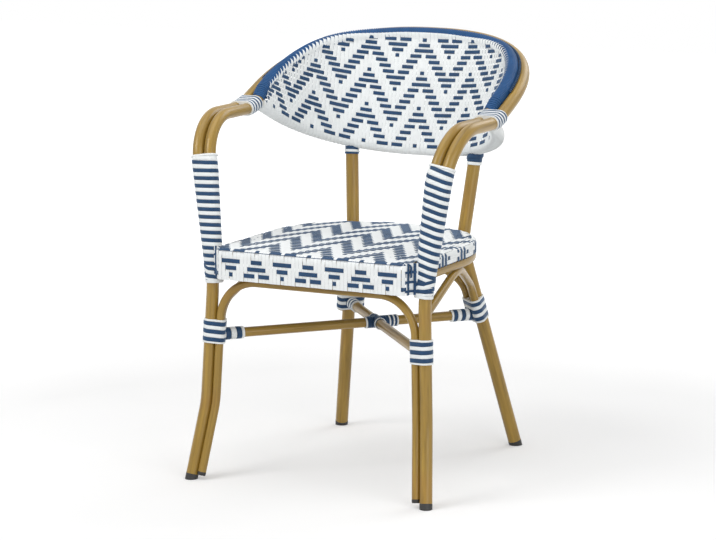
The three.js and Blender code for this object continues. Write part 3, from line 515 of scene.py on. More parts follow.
# Weaving: strands that pass over and under each other along a surface
LIFT = 0.00065
STRAND_FILL, WEFT_GROOVE = 0.985, 0.2
COLUMN_PITCH = 0.00785
CROSSING_REACH = 0.3  # how far a strand stays up or down, as a share of the way to the next crossing


def navy(column, row):
    """The zigzag: whether the blue strand lies on top where a column and a row cross."""
    return (abs((column + 7) % 14 - 7) - row + 1) % 6 in (5, 0, 1)


def weave_strand(bm, ribbon, crossings, section, steps=(-1, 0, 1)):
    """A strand along a ribbon, raised at some of its crossings (distance, raised) and sunk at others."""
    marks = []
    for k, (distance, raised) in enumerate(crossings):
        before = distance - crossings[k - 1][0] if k else crossings[1][0] - distance
        after = crossings[k + 1][0] - distance if k + 1 < len(crossings) else before
        for step in steps:
            mark = distance + step * CROSSING_REACH * (before if step < 0 else after)
            marks.append((mark, LIFT if raised else -LIFT))
    marks.sort()
    if marks[0][0] > 0:
        marks.insert(0, (0.0, marks[0][1]))
    if marks[-1][0] < ribbon.length:
        marks.append((ribbon.length, marks[-1][1]))
    points, normals = [], []
    for distance, lift in marks:
        if 0 <= distance <= ribbon.length:
            point, normal = ribbon.spot(distance)
            points.append(point + normal * lift)
            normals.append(normal)
    lay_strand(bm, points, normals, section)


# The back: columns run from the lower rail to the rim, rows run beside the lower rail
BACK_PITCH, BACK_LAST, BACK_ROWS = 0.00822, 47, 19
ROLL_OUT, ROLL_UP, RIM_FRONT = 0.0127, 0.0113, 0.0133  # from the middles of the rail and the rim
ROLL_FROM, ROLL_ROUND, ROLL_STEPS = 130, 310, 24  # how a column goes round the rail, in degrees
FAN_RAIL, FAN_RIM = 0.2, 0.95  # how far the columns past the rail's ends move along rail and rim
ROW_START, ROW_PITCH, ROW_CLOSING = 0.00536, 0.01286, 0.00006
ROW_STRETCH, MIDDLE_LENGTH = 0.2575, 0.23  # rows lie farther apart where the back is longer
ROW_REACH, SHORT_OF_RAIL, SHORT_OF_RIM = 0.32, 0.001, 0.003
SHEET_FRONT, SHEET_TAPER, SHEET_SAG = 0.0128, 0.0023, 0.012
DIVE, DIVE_STEPS, DIVE_DEPTH, DIVE_PAST = math.radians(55), 6, 0.0024, 0.02  # into the rim's winding


class Column:
    """A straight of the back from the lower rail to the rim."""

    def __init__(self, facing, past=0.0):
        self.facing = facing
        self.rail, self.rim = rail_point(facing), inner_point(facing)
        if past:
            self.rail.y -= FAN_RAIL * past
            self.rim = INNER.at(INNER.where(1, self.rim.y - FAN_RIM * past))
            if facing > math.pi / 2:
                self.rim = mirror(self.rim)
        self.up = (self.rim - self.rail).normalized()
        self.length = (self.rim - self.rail).length
        self.stretch = 1 + ROW_STRETCH * ((rim_point(facing) - self.rail).length / MIDDLE_LENGTH - 1)
        self.dive = DIVE * aside(facing)
        along = rail_point(facing + FACING_STEP) - rail_point(facing - FACING_STEP)
        self.out = along.cross(self.up).normalized()
        if self.out.dot(flat_way(facing)) < 0:
            self.out.negate()

    def at(self, up, out):
        return self.rail + self.up * up + self.out * out

    def row(self, row):
        """How far up a row crosses the column."""
        return ROW_START + (ROW_PITCH * row - ROW_CLOSING * row * row) * self.stretch

    def sheet(self, up):
        """The middle of the weave, before the rail and the rim."""
        share = min(up / self.length, 1.0)
        sag = SHEET_SAG * share * (1 - share) * math.sin(self.facing)
        before = SHEET_FRONT - SHEET_TAPER * share - sag
        short = abs(self.length - up)
        return -max(before, math.sqrt(max(RIM_FRONT ** 2 - short ** 2, 0.0)))


MIDLINE_STEPS = 720
MIDLINE_FACINGS = [math.pi * i / MIDLINE_STEPS for i in range(MIDLINE_STEPS + 1)]
MIDLINE = Path([(rail_point(f) + rim_point(f)) / 2 for f in MIDLINE_FACINGS])


def column_at(column):
    """A column counted from the middle of the back: past the rail's ends they fan out to the joints."""
    distance = MIDLINE.length / 2 - column * BACK_PITCH
    if distance < 0:
        return Column(0.0, -distance)
    if distance > MIDLINE.length:
        return Column(math.pi, distance - MIDLINE.length)
    low, share = MIDLINE.locate(distance)
    return Column(math.pi * (low + share) / MIDLINE_STEPS)


# By quarters of a column: the halves give a strand's edges, the quarters where a row goes up or down
BACK_COLUMNS = {c / 4: column_at(c / 4) for c in range(-4 * BACK_LAST - 2, 4 * BACK_LAST + 3)}


def back_warp(bm, column, thickness):
    """A strand round the lower rail, up the back and into the winding of the rim."""
    place = BACK_COLUMNS[column]
    spots = []
    for k in range(ROLL_STEPS + 1):
        angle = math.radians(ROLL_FROM - ROLL_ROUND * k / ROLL_STEPS)
        spots.append((ROLL_UP * math.sin(angle), ROLL_OUT * math.cos(angle), angle))
    for row in range(BACK_ROWS + 1):
        middle, pitch = place.row(row), place.row(row + 1) - place.row(row)
        lift = LIFT if row < BACK_ROWS and navy(column, -row) else -LIFT
        for step in (-ROW_REACH, 0, ROW_REACH):
            up = middle + step * pitch
            if SHORT_OF_RAIL < up < place.length - SHORT_OF_RIM:
                spots.append((up, place.sheet(up) + lift, -math.pi))
    for k in range(DIVE_STEPS + 1):
        angle = place.dive * k / DIVE_STEPS
        reach = RIM_FRONT + LIFT - DIVE_DEPTH * smooth((k - 4) / 2)
        up = place.length + reach * math.sin(angle + DIVE_PAST * k)
        spots.append((up, -reach * math.cos(angle), math.pi - angle))
    left, right = BACK_COLUMNS[column - 0.5], BACK_COLUMNS[column + 0.5]
    points, normals, sections = [], [], []
    for up, out, angle in spots:
        points.append(place.at(up, out))
        normals.append(place.out * math.cos(angle) + place.up * math.sin(angle))
        width = (left.at(up, out) - right.at(up, out)).length * STRAND_FILL
        sections.append(strand_section(width, thickness))
    lay_strand(bm, points, normals, sections)


def back_weft(bm, row, section):
    """A strand across the back beside the lower rail, which ends in the winding of the rim."""
    runs = []
    for c, place in sorted(BACK_COLUMNS.items()):
        if place.row(row) < place.length - SHORT_OF_RIM:
            if runs and c - runs[-1][-1] < 0.3:
                runs[-1].append(c)
            else:
                runs.append([c])
    for run in runs:
        points, normals = [], []
        for quarter in run:
            middle = round(quarter)
            if abs(quarter - middle) == 0.25 or quarter in (run[0], run[-1]):
                place = BACK_COLUMNS[quarter]
                up = place.row(row)
                points.append(place.at(up, place.sheet(up) + (-LIFT if navy(middle, -row) else LIFT)))
                normals.append(-place.out)
        if len(points) > 3:
            lay_strand(bm, points, normals, section)


# The seat: columns run from front to back and down the apron, rows run across
SEAT_EDGE, SEAT_SKIN, CORNER_RADIUS = 0.008, 0.0009, 0.014
SEAT_COLUMNS, SEAT_ROW_PITCH = 25, 0.014
COLUMN_STEPS, ROW_STEPS, CORNER_STEPS, APRON_COLUMNS = 30, 24, 6, 24
APRON_ROWS = ((9, 0.4045), (8, 0.4172), (7, 0.4305))
EDGE_ROW = 0.4513
SEAT_MIDDLE = (SEAT_FRONT + SEAT_CURVE_START + SEAT_CURVE[1]) / 2
DOME_HALF_WIDTH, DOME_HALF_DEPTH, DOME_POWER, DOME_HEIGHT = 0.202, 0.2105, 2.6, 0.005
SIDE_DRAW, SIDE_DRAW_END = 0.009, 0.0478  # the sides draw in before the arms
TURN_FACING, BAND_OVERLAP = math.radians(45), 0.03  # rows turn down beside it, columns behind it
BAND_TOP, BAND_END = SEAT_TOP - 0.01, BAND_BOTTOM + 0.0005
TUCK_BEFORE, TUCK_PAST, TUCK_DROP = 0.001, 0.004, 0.003  # how a column ends at the side, under the edge
SHORT_OF_REAR, SHORT_OF_END, SHORT_OF_SIDE = 0.012, 0.004, 0.002
APRON_PAST_SIDE, APRON_SHORT_OF_ARM = 0.0008, 0.001
BEHIND_ARM, CLEAR_OF_ARM = 0.0012, 0.003


def seat_dome(x, y):
    across, along = abs(x) / DOME_HALF_WIDTH, abs(y - SEAT_MIDDLE) / DOME_HALF_DEPTH
    spread = across ** DOME_POWER + along ** DOME_POWER
    return DOME_HEIGHT * (1 - min(1.0, spread ** (2 / DOME_POWER)))


def front_at(x, inset):
    """The setback of the apron at a width."""
    past = max(0.0, abs(x) - (FRONT_HALF_WIDTH - CORNER_RADIUS))
    reach = max(CORNER_RADIUS - inset, CLEAR)
    return SEAT_FRONT + CORNER_RADIUS - math.sqrt(max(reach * reach - min(past, reach) ** 2, 0))


def rear_at(x, inset):
    """The setback of the seat's rear edge at a width, and the direction it faces there."""
    facing = halve(lambda f: curve_point(SEAT_CURVE, f, inset)[0] <= abs(x), 0.0, math.pi / 2, 30)[0]
    return SEAT_CURVE_START + curve_point(SEAT_CURVE, facing, inset)[1], facing


def side_at(y, inset):
    """The half width of the seat at a setback, and the direction its edge faces there."""
    if y <= SEAT_CURVE_START:
        return SEAT_CURVE[0] - inset - SIDE_DRAW * max(0.0, 1 - y / SIDE_DRAW_END), 0.0
    past = y - SEAT_CURVE_START
    facing = halve(lambda f: curve_point(SEAT_CURVE, f, inset)[1] >= past, 0.0, math.pi / 2, 30)[0]
    return curve_point(SEAT_CURVE, facing, inset)[0], facing


def edge_arc(steps=6):
    """Inset and drop of the rolled edge, from the top to the band."""
    angles = [math.pi / 2 * k / steps for k in range(steps + 1)]
    return [(SEAT_EDGE * (1 - math.sin(a)), SEAT_EDGE * (1 - math.cos(a)), a) for a in angles]


def seat_warp_ribbon(x):
    """From the front hem, up the apron, over the seat and down its rear edge."""
    points, normals = [], []

    def add(y, z, normal):
        points.append(at(x, y, z) - normal * SEAT_SKIN)
        normals.append(normal)

    past = max(0.0, abs(x) - (FRONT_HALF_WIDTH - CORNER_RADIUS)) / CORNER_RADIUS
    ahead = ahead_of(math.copysign(math.asin(min(past, 1.0)), x))
    add(front_at(x, 0), APRON_BOTTOM, ahead)
    add(front_at(x, 0), SEAT_TOP - SEAT_EDGE, ahead)
    for inset, drop, a in reversed(edge_arc()[:-1]):
        add(front_at(x, inset), SEAT_TOP - drop, ahead * math.sin(a) + UP * math.cos(a))
    start, (end, facing) = front_at(x, SEAT_EDGE), rear_at(x, SEAT_EDGE)
    for k in range(1, COLUMN_STEPS):
        y = start + (end - start) * k / COLUMN_STEPS
        add(y, SEAT_TOP + seat_dome(x, y), UP)
    if facing < TURN_FACING:
        add(end - TUCK_BEFORE, SEAT_TOP, UP)
        add(end + TUCK_PAST, SEAT_TOP - TUCK_DROP, UP)
        return Ribbon(points, normals)
    behind = flat_way(facing if x > 0 else math.pi - facing)
    for inset, drop, a in edge_arc():
        add(rear_at(x, inset)[0], SEAT_TOP - drop, behind * math.sin(a) + UP * math.cos(a))
    add(rear_at(x, 0)[0], BAND_END, behind)
    return Ribbon(points, normals)


def seat_weft_ribbon(y):
    """Across the seat at a setback, and down its sides where they face outwards."""
    notched = NOTCH[0] < y < NOTCH[1]
    width, facing = side_at(y, SEAT_EDGE)
    half = []
    for k in range(ROW_STEPS + 1):
        x = (NOTCH[2] if notched else width) * k / ROW_STEPS
        half.append((at(x, y, SEAT_TOP + seat_dome(x, y)), UP))
    if not notched and facing < TURN_FACING:
        outwards = flat_way(facing)
        for inset, drop, a in edge_arc()[1:]:
            normal = outwards * math.sin(a) + UP * math.cos(a)
            half.append((at(side_at(y, inset)[0], y, SEAT_TOP - drop), normal))
        half.append((at(side_at(y, 0)[0], y, BAND_END), outwards))
    points = [p - n * SEAT_SKIN for p, n in half]
    normals = [n for p, n in half]
    return Ribbon(mirrored(points[1:]) + points, mirrored(normals[1:]) + normals)


def top_row_setback(row):
    """The setback of a row on top of the seat."""
    lean = math.asin((EDGE_ROW - SEAT_TOP + SEAT_EDGE) / SEAT_EDGE)
    past = SEAT_ROW_PITCH - SEAT_EDGE * (math.pi / 2 - lean)
    return SEAT_FRONT + SEAT_EDGE + past + SEAT_ROW_PITCH * (5 - row)


SEAT_REAR = SEAT_CURVE_START + SEAT_CURVE[1]
TOP_ROWS = [r for r in range(5, -40, -1) if top_row_setback(r) < SEAT_REAR - SHORT_OF_REAR]
SIDE_RINGS = (0.4516, 0.4462, 0.4386, 0.4309)
REAR_RINGS = (0.4470, 0.4345)


def seat_warp(bm, column, section):
    """A strand up the apron, along the seat and down its rear band."""
    ribbon = seat_warp_ribbon(column * COLUMN_PITCH)
    crossings = [(z - APRON_BOTTOM, not navy(column, row)) for row, z in APRON_ROWS]
    crossings.append((ribbon.first(lambda p: p.z > EDGE_ROW - SEAT_SKIN), not navy(column, 6)))
    rear = max(p.y for p in ribbon.points) - FRONT
    for row in TOP_ROWS:
        y = top_row_setback(row)
        if y < rear - SHORT_OF_END:
            crossings.append((ribbon.first(lambda p: p.y - FRONT > y), not navy(column, row)))
    if ribbon.points[-1].z < BAND_TOP:
        for k, z in enumerate(REAR_RINGS):
            distance = ribbon.first(lambda p: p.z < z and p.y - FRONT > SEAT_CURVE_START)
            crossings.append((distance, not navy(column, TOP_ROWS[-1] - 1 - k)))
    weave_strand(bm, ribbon, sorted(c for c in crossings if c[0] is not None), section)


def seat_weft(bm, row, section):
    """A row on top of the seat, down the side bands."""
    y = top_row_setback(row)
    ribbon = seat_weft_ribbon(y)
    middle, stop = ribbon.length / 2, NOTCH[2] if NOTCH[0] < y < NOTCH[1] else side_at(y, SEAT_EDGE)[0]
    crossings = []
    for column in range(-SEAT_COLUMNS, SEAT_COLUMNS + 1):
        x = column * COLUMN_PITCH
        if abs(x) < stop - SHORT_OF_SIDE:
            crossings.append((middle + x, navy(column, row)))
    if ribbon.points[-1].z < BAND_TOP:
        for k, z in enumerate(SIDE_RINGS):
            distance = ribbon.first(lambda p: p.z < z and p.x > 0)
            if distance:
                over = navy(SEAT_COLUMNS + 1 + k, row)
                crossings += [(distance, over), (ribbon.length - distance, over)]
    weave_strand(bm, ribbon, sorted(crossings), section, steps=(-1, 1))


def apron_weft(bm, row, z, section):
    """A row across the apron, round its corners to the arms."""
    lean = max(0.0, (z - SEAT_TOP + SEAT_EDGE) / SEAT_EDGE)
    inset, tilt = SEAT_EDGE * (1 - math.sqrt(1 - lean ** 2)), math.asin(lean)
    radius = CORNER_RADIUS - inset
    corner_x, corner_y = FRONT_HALF_WIDTH - inset - radius, SEAT_FRONT + inset + radius
    half = []
    for column in range(APRON_COLUMNS):
        for share in (-CROSSING_REACH, CROSSING_REACH):
            x = (column + share) * COLUMN_PITCH
            if 0 < x < corner_x:
                half.append((x, SEAT_FRONT + inset, ahead_of(0), navy(column, row)))
    for k in range(1, CORNER_STEPS + 1):
        normal = ahead_of(math.pi / 2 * k / CORNER_STEPS)
        half.append((corner_x + radius * normal.x, corner_y + radius * normal.y, normal, k % 2 == 0))
    end_x, end_y = FRONT_HALF_WIDTH - inset + APRON_PAST_SIDE, NOTCH[0] - APRON_SHORT_OF_ARM
    half.append((end_x, end_y, Vector((1, 0, 0)), True))
    spots = []
    for x, y, n, over in [(-x, y, mirror(n), over) for x, y, n, over in reversed(half)] + half:
        spots.append((at(x, y, z), (n * math.cos(tilt) + UP * math.sin(tilt)).normalized(), over))
    lay_spots(bm, spots, section)


LACING_THICKNESS, LACING_MIDDLE = 0.0014, 0.422
# The corner lacing, by distance from the front: white uprights, blue ones over them with their widths
LACING_WHITE, LACING_WHITE_WIDTH = (0.0175, 0.0225, 0.0265, 0.0300, 0.0340, 0.0385), 0.0060
LACING_BLUE, LACING_BLUE_LIFT = ((0.0200, 0.0070), (0.0352, 0.0052)), 0.0012
# Its level strands: heights, start, how much shorter than the corner they are, lift and width
LACING_HEIGHTS, LACING_START, LACING_SHORTER = (0.4360, 0.4175, 0.4005), 0.012, 0.013
LACING_LIFT, LACING_WIDTH, LACING_STEPS = 0.0022, 0.0046, 12
# Beyond the rounded corner the lacing passes before the arm: width, setback, and how it faces
LACING_TURN = ((0.2016, 0.0285, 0.9, 0.44), (0.2050, 0.0325, 0.5, 0.87), (0.2140, 0.0352, 0.25, 0.97))


def corner_line():
    """The line from the apron's corner, along its side and out in front of the arm."""
    centre = at(FRONT_HALF_WIDTH - CORNER_RADIUS, SEAT_FRONT + CORNER_RADIUS, 0)
    normals = [ahead_of(math.pi / 2 * k / CORNER_STEPS) for k in range(CORNER_STEPS + 1)]
    points = [centre + normal * (CORNER_RADIUS - SEAT_SKIN) for normal in normals]
    for x, y, sideways, ahead in LACING_TURN:
        normals.append(Vector((sideways, -ahead, 0)).normalized())
        points.append(at(x, y, 0))
    return Ribbon(points, normals)


CORNER = corner_line()


def corner_column(bm, distance, lift, width):
    """An upright strand of the corner lacing."""
    foot, normal = CORNER.spot(distance)
    points = [foot + normal * lift + UP * z for z in (APRON_BOTTOM, LACING_MIDDLE, SEAT_TOP + CLEAR)]
    lay_strand(bm, points, [normal] * 3, strand_section(width, LACING_THICKNESS))


def corner_row(bm, z):
    """A level strand of the corner lacing."""
    reach = CORNER.length - LACING_SHORTER
    places = [CORNER.spot(LACING_START + reach * k / LACING_STEPS) for k in range(LACING_STEPS + 1)]
    points = [foot + normal * LACING_LIFT + UP * z for foot, normal in places]
    section = strand_section(LACING_WIDTH, LACING_THICKNESS)
    lay_strand(bm, points, [normal for foot, normal in places], section)


def mirrored_too(bm, make, *values):
    """Makes strands and adds them on both sides."""
    half = new_piece()
    make(half, *values)
    mesh = bpy.data.meshes.new("half")
    half.to_mesh(mesh)
    bm.from_mesh(mesh)
    flip(half)
    bmesh.ops.reverse_faces(half, faces=half.faces)
    half.to_mesh(mesh)
    bm.from_mesh(mesh)
    half.free()
    bpy.data.meshes.remove(mesh)


def band_spot(z, facing, setback=None):
    """A place on the seat's side or rear band at a height, with its normal."""
    rise = max(0.0, z - SEAT_TOP + SEAT_EDGE)
    inset = SEAT_EDGE - math.sqrt(SEAT_EDGE ** 2 - rise ** 2)
    tilt = math.asin(rise / SEAT_EDGE)
    point = seat_edge(facing, inset, z)
    if setback is not None:
        point = at(SEAT_CURVE[0] - inset, setback, z)
    return point, flat_way(facing) * math.cos(tilt) + UP * math.sin(tilt)


def side_ring(bm, k, z, section):
    """A strand along the right side band, over and under the rows that turn down there."""
    spots = [band_spot(z, 0.0, NOTCH[1] + BEHIND_ARM) + (True,)]
    for row in TOP_ROWS:
        for step in (-CROSSING_REACH, CROSSING_REACH):
            y = top_row_setback(row) + step * SEAT_ROW_PITCH
            facing = side_at(y, 0)[1]
            if y > NOTCH[1] + CLEAR_OF_ARM and facing < TURN_FACING + BAND_OVERLAP:
                straight = y if y < SEAT_CURVE_START else None
                over = not navy(SEAT_COLUMNS + 1 + k, row)
                spots.append(band_spot(z, facing, straight) + (over,))
    lay_spots(bm, spots, section)


def rear_ring(bm, k, z, section):
    """A strand along the rear band, over and under the columns that turn down there."""
    spots = []
    for column in range(-SEAT_COLUMNS, SEAT_COLUMNS + 1):
        for step in (-CROSSING_REACH, CROSSING_REACH):
            x = (column + step) * COLUMN_PITCH
            facing = rear_at(x, 0)[1]
            if facing > TURN_FACING - BAND_OVERLAP:
                over = navy(column, TOP_ROWS[-1] - 1 - k)
                spots.append(band_spot(z, facing if x > 0 else math.pi - facing) + (over,))
    lay_spots(bm, spots, section)


def lay_spots(bm, spots, section):
    """A strand through places on a band (point, normal, over)."""
    points = [p + n * ((LIFT if over else -LIFT) - SEAT_SKIN) for p, n, over in spots]
    lay_strand(bm, points, [n for p, n, over in spots], section)


# Materials
WHITE = (1, 1, 1, 1)


def linear(value):
    return value / 12.92 if value <= 0.04045 else ((value + 0.055) / 1.055) ** 2.4


def shade(red, green, blue):
    return tuple(linear(v / 255) for v in (red, green, blue)) + (1.0,)


def tint(colour, factor):
    return tuple(min(1.0, c * factor) for c in colour[:3]) + (1.0,)


def add_node(tree, kind, inputs=(), **settings):
    """Adds a node to a tree, its inputs linked or set."""
    node = tree.nodes.new(kind)
    for key, value in settings.items():
        setattr(node, key, value)
    for key, value in dict(inputs).items():
        if isinstance(value, bpy.types.NodeSocket):
            tree.links.new(value, node.inputs[key])
        else:
            node.inputs[key].default_value = value
    return node


def seen_ray(tree):
    """Whether a ray comes from the camera, off something glossy or through glass."""
    rays = add_node(tree, "ShaderNodeLightPath").outputs
    seen = rays["Is Camera Ray"]
    for kind in ("Is Glossy Ray", "Is Transmission Ray"):
        seen = add_node(tree, "ShaderNodeMath", {0: seen, 1: rays[kind]}, operation="MAXIMUM").outputs[0]
    return seen


class Finish:
    """A node material under construction."""

    def __init__(self, name, roughness, **sockets):
        self.material = bpy.data.materials.new(name)
        self.material.use_nodes = True
        self.tree = self.material.node_tree
        self.shader = self.tree.nodes["Principled BSDF"]
        self.shader.inputs["Roughness"].default_value = roughness
        for socket, value in sockets.items():
            self.shader.inputs[socket.replace("_", " ")].default_value = value

    def node(self, kind, inputs=(), **settings):
        return add_node(self.tree, kind, inputs, **settings)

    def math(self, operation, a, b=0.0):
        return self.node("ShaderNodeMath", {0: a, 1: b}, operation=operation).outputs[0]

    def object_space(self):
        return self.node("ShaderNodeTexCoord").outputs["Object"]

    def noise(self, vector, scale, detail, rough=0.55):
        inputs = {"Vector": vector, "Scale": scale, "Detail": detail, "Roughness": rough}
        return self.node("ShaderNodeTexNoise", inputs).outputs["Fac"]

    def ramp(self, factor, *stops):
        node = self.node("ShaderNodeValToRGB", {"Fac": factor})
        elements = node.color_ramp.elements
        while len(elements) < len(stops):
            elements.new(0.5)
        for element, (position, colour) in zip(elements, stops):
            element.position, element.color = position, colour
        return node.outputs["Color"]

    def mix(self, factor, a, b):
        return self.node("ShaderNodeMix", {0: factor, 6: a, 7: b}, data_type="RGBA").outputs[2]

    def grain_space(self, across, length):
        """Coordinates that follow a piece: round it and along it."""
        uv = self.node("ShaderNodeUVMap", uv_map="along").outputs["UV"]
        parts = self.node("ShaderNodeSeparateXYZ", {"Vector": uv}).outputs
        turn = self.math("MULTIPLY", parts["X"], 2 * math.pi)
        x = self.math("MULTIPLY", self.math("COSINE", turn), across)
        y = self.math("MULTIPLY", self.math("SINE", turn), across)
        z = self.math("MULTIPLY", parts["Y"], length)
        return self.node("ShaderNodeCombineXYZ", {"X": x, "Y": y, "Z": z}).outputs["Vector"]

    def shift_by_place(self, vector, amount):
        """Moves a pattern from place to place, so that neighbours don't repeat it."""
        scaled = {0: self.object_space(), 1: (amount,) * 3}
        place = self.node("ShaderNodeVectorMath", scaled, operation="MULTIPLY").outputs[0]
        return self.node("ShaderNodeVectorMath", {0: vector, 1: place}, operation="ADD").outputs[0]

    def bump(self, height, distance, strength):
        inputs = {"Height": height, "Distance": distance, "Strength": strength}
        return self.node("ShaderNodeBump", inputs).outputs["Normal"]

    def done(self, **sockets):
        for socket, output in sockets.items():
            self.tree.links.new(output, self.shader.inputs[socket.replace("_", " ")])
        return self.material


def bamboo_paint(name, base):
    """Glossy painted tube with lengthwise streaks and worn marks, like cured cane."""
    finish = Finish(name, 0.3, Specular_IOR_Level=0.35, Coat_Weight=0.22, Coat_Roughness=0.22)
    streaks = finish.noise(finish.shift_by_place(finish.grain_space(1.2, 5.0), 2.0), 1.6, 3.0, 0.45)
    colour = finish.ramp(
        streaks, (0.30, tint(base, 0.62)), (0.45, tint(base, 0.9)), (0.56, base), (0.74, tint(base, 1.22))
    )
    patches = finish.noise(finish.object_space(), 9.0, 2.0)
    warm = finish.ramp(patches, (0.52, (0, 0, 0, 1)), (0.75, WHITE))
    colour = finish.mix(warm, colour, finish.mix(0.22, colour, shade(150, 84, 48)))
    fine = finish.noise(finish.grain_space(5.0, 9.0), 4.0, 3.0)
    colour = finish.mix(0.14, colour, finish.ramp(fine, (0.3, tint(base, 0.5)), (0.7, tint(base, 1.3))))
    rough = finish.node("ShaderNodeMapRange", {"Value": streaks, "To Min": 0.36, "To Max": 0.26}).outputs[0]
    return finish.done(Base_Color=colour, Normal=finish.bump(fine, 0.00012, 0.3), Roughness=rough)


def strand_finish(name, base, roughness, spread, sheen=0.0):
    """Extruded strand: faint lengthwise grain and small differences of tone from strand to strand."""
    finish = Finish(name, roughness, Sheen_Weight=sheen, Sheen_Tint=(0.5, 0.72, 1.0, 1),
                    Specular_IOR_Level=0.2)
    patches = finish.noise(finish.object_space(), 55.0, 2.0)
    colour = finish.ramp(patches, (0.32, tint(base, 1 - spread)), (0.68, tint(base, 1 + spread)))
    grain = finish.noise(finish.grain_space(3.0, 40.0), 4.0, 3.0)
    lines = finish.ramp(grain, (0.35, tint(base, 1 - 1.6 * spread)), (0.6, base))
    return finish.done(Base_Color=finish.mix(0.5, colour, lines), Normal=finish.bump(grain, 0.0002, 0.6))


def foot_plastic(name, base):
    """Moulded plastic with a fine grain."""
    finish = Finish(name, 0.5)
    grain = finish.noise(finish.object_space(), 900.0, 2.0)
    scuffs = finish.noise(finish.object_space(), 60.0, 3.0)
    colour = finish.ramp(scuffs, (0.35, tint(base, 0.8)), (0.7, tint(base, 1.5)))
    return finish.done(Base_Color=colour, Normal=finish.bump(grain, 0.00015, 0.5))


# Each finish: its slot, its material and how that is made, its colour, and further values
FINISHES = {
    "bamboo": ("bamboo_paint", "bamboo paint", bamboo_paint, "bamboo_colour"),
    "navy": ("blue_strand", "navy strand", strand_finish, "navy_colour", 0.38, 0.22, 0.3),
    "rim": ("blue_strand", "blue rim strand", strand_finish, "rim_colour", 0.42, 0.16),
    "white": ("white_strand", "white strand", strand_finish, "white_colour", 0.45, 0.035),
    "foot": ("black_plastic", "foot plastic", foot_plastic, "foot_colour"),
}


def length_setting(name, description, default, least, most):
    return bpy.props.FloatProperty(
        name=name, description=description, default=default, min=least, max=most,
        subtype="DISTANCE", unit="LENGTH")


def colour_setting(name, description, default):
    return bpy.props.FloatVectorProperty(
        name=name, description=description, default=default, size=4, min=0, max=1, subtype="COLOR")


class ChairSizes(bpy.types.PropertyGroup):
    """The sizes and colours that a user would change."""

    warp_width: length_setting(
        "Column strand width", "Width of the strands that run along the seat", 0.0077, 0.003, 0.0078)
    back_row_width: length_setting(
        "Back row strand width", "Width of the strands that cross the back", 0.0070, 0.003, 0.0100)
    weft_width: length_setting(
        "Row strand width", "Width of the strands that cross the seat", 0.0080, 0.003, 0.0100)
    strand_thickness: length_setting(
        "Strand thickness", "Thickness of the woven strands", 0.0012, 0.0005, 0.003)
    bamboo_colour: colour_setting("Frame colour", "Colour of the painted tube", shade(160, 128, 54))
    navy_colour: colour_setting(
        "Dark strand colour", "Colour of the dark strands of the pattern", shade(40, 71, 106))
    rim_colour: colour_setting(
        "Rim strand colour", "Colour of the strand wound round the rim of the back", shade(42, 89, 141))
    white_colour: colour_setting(
        "Light strand colour", "Colour of the light strands of the pattern", shade(240, 243, 243))
    foot_colour: colour_setting("Foot colour", "Colour of the plastic feet", shade(40, 39, 38))


def make_tubes(name, lines, nodes, sides=24):
    """Painted tubes along lines (points, radius), as one piece."""
    bm = new_piece()
    for points, radius in lines:
        lay_tube(bm, points, radius, sides)
    finish_piece(name, bm, "bamboo", nodes)


def make_tube_pair(name, points, radius):
    """A painted tube of the right side, and its twin."""
    make_tubes(name + "_tube_right", [(points, radius)], [name + "_right"])
    make_tubes(name + "_tube_left", [([mirror(p) for p in points], radius)], [name + "_left"])


def rail_loop(inset, z):
    """The open loop of a rail under the edge of the seat."""
    start = at(SEAT_CURVE[0] - inset, NOTCH[1] + 0.0002, z)
    return [start] + [seat_edge(f, inset, z) for f in FACINGS] + [mirror(start)]


class MakeHoops(bpy.types.Operator):
    """Bends the two hoops that make the front legs, arms and back rim"""

    bl_idname = "bistro_chair.make_hoops"
    bl_label = "Hoops"

    def execute(self, context):
        make_tubes("outer_hoop_tube", [(OUTER.points, HOOP_RADIUS)], ["outer_hoop"])
        make_tubes("inner_hoop_tube", [(INNER.points, INNER_RADIUS)], ["inner_hoop"])
        return {"FINISHED"}


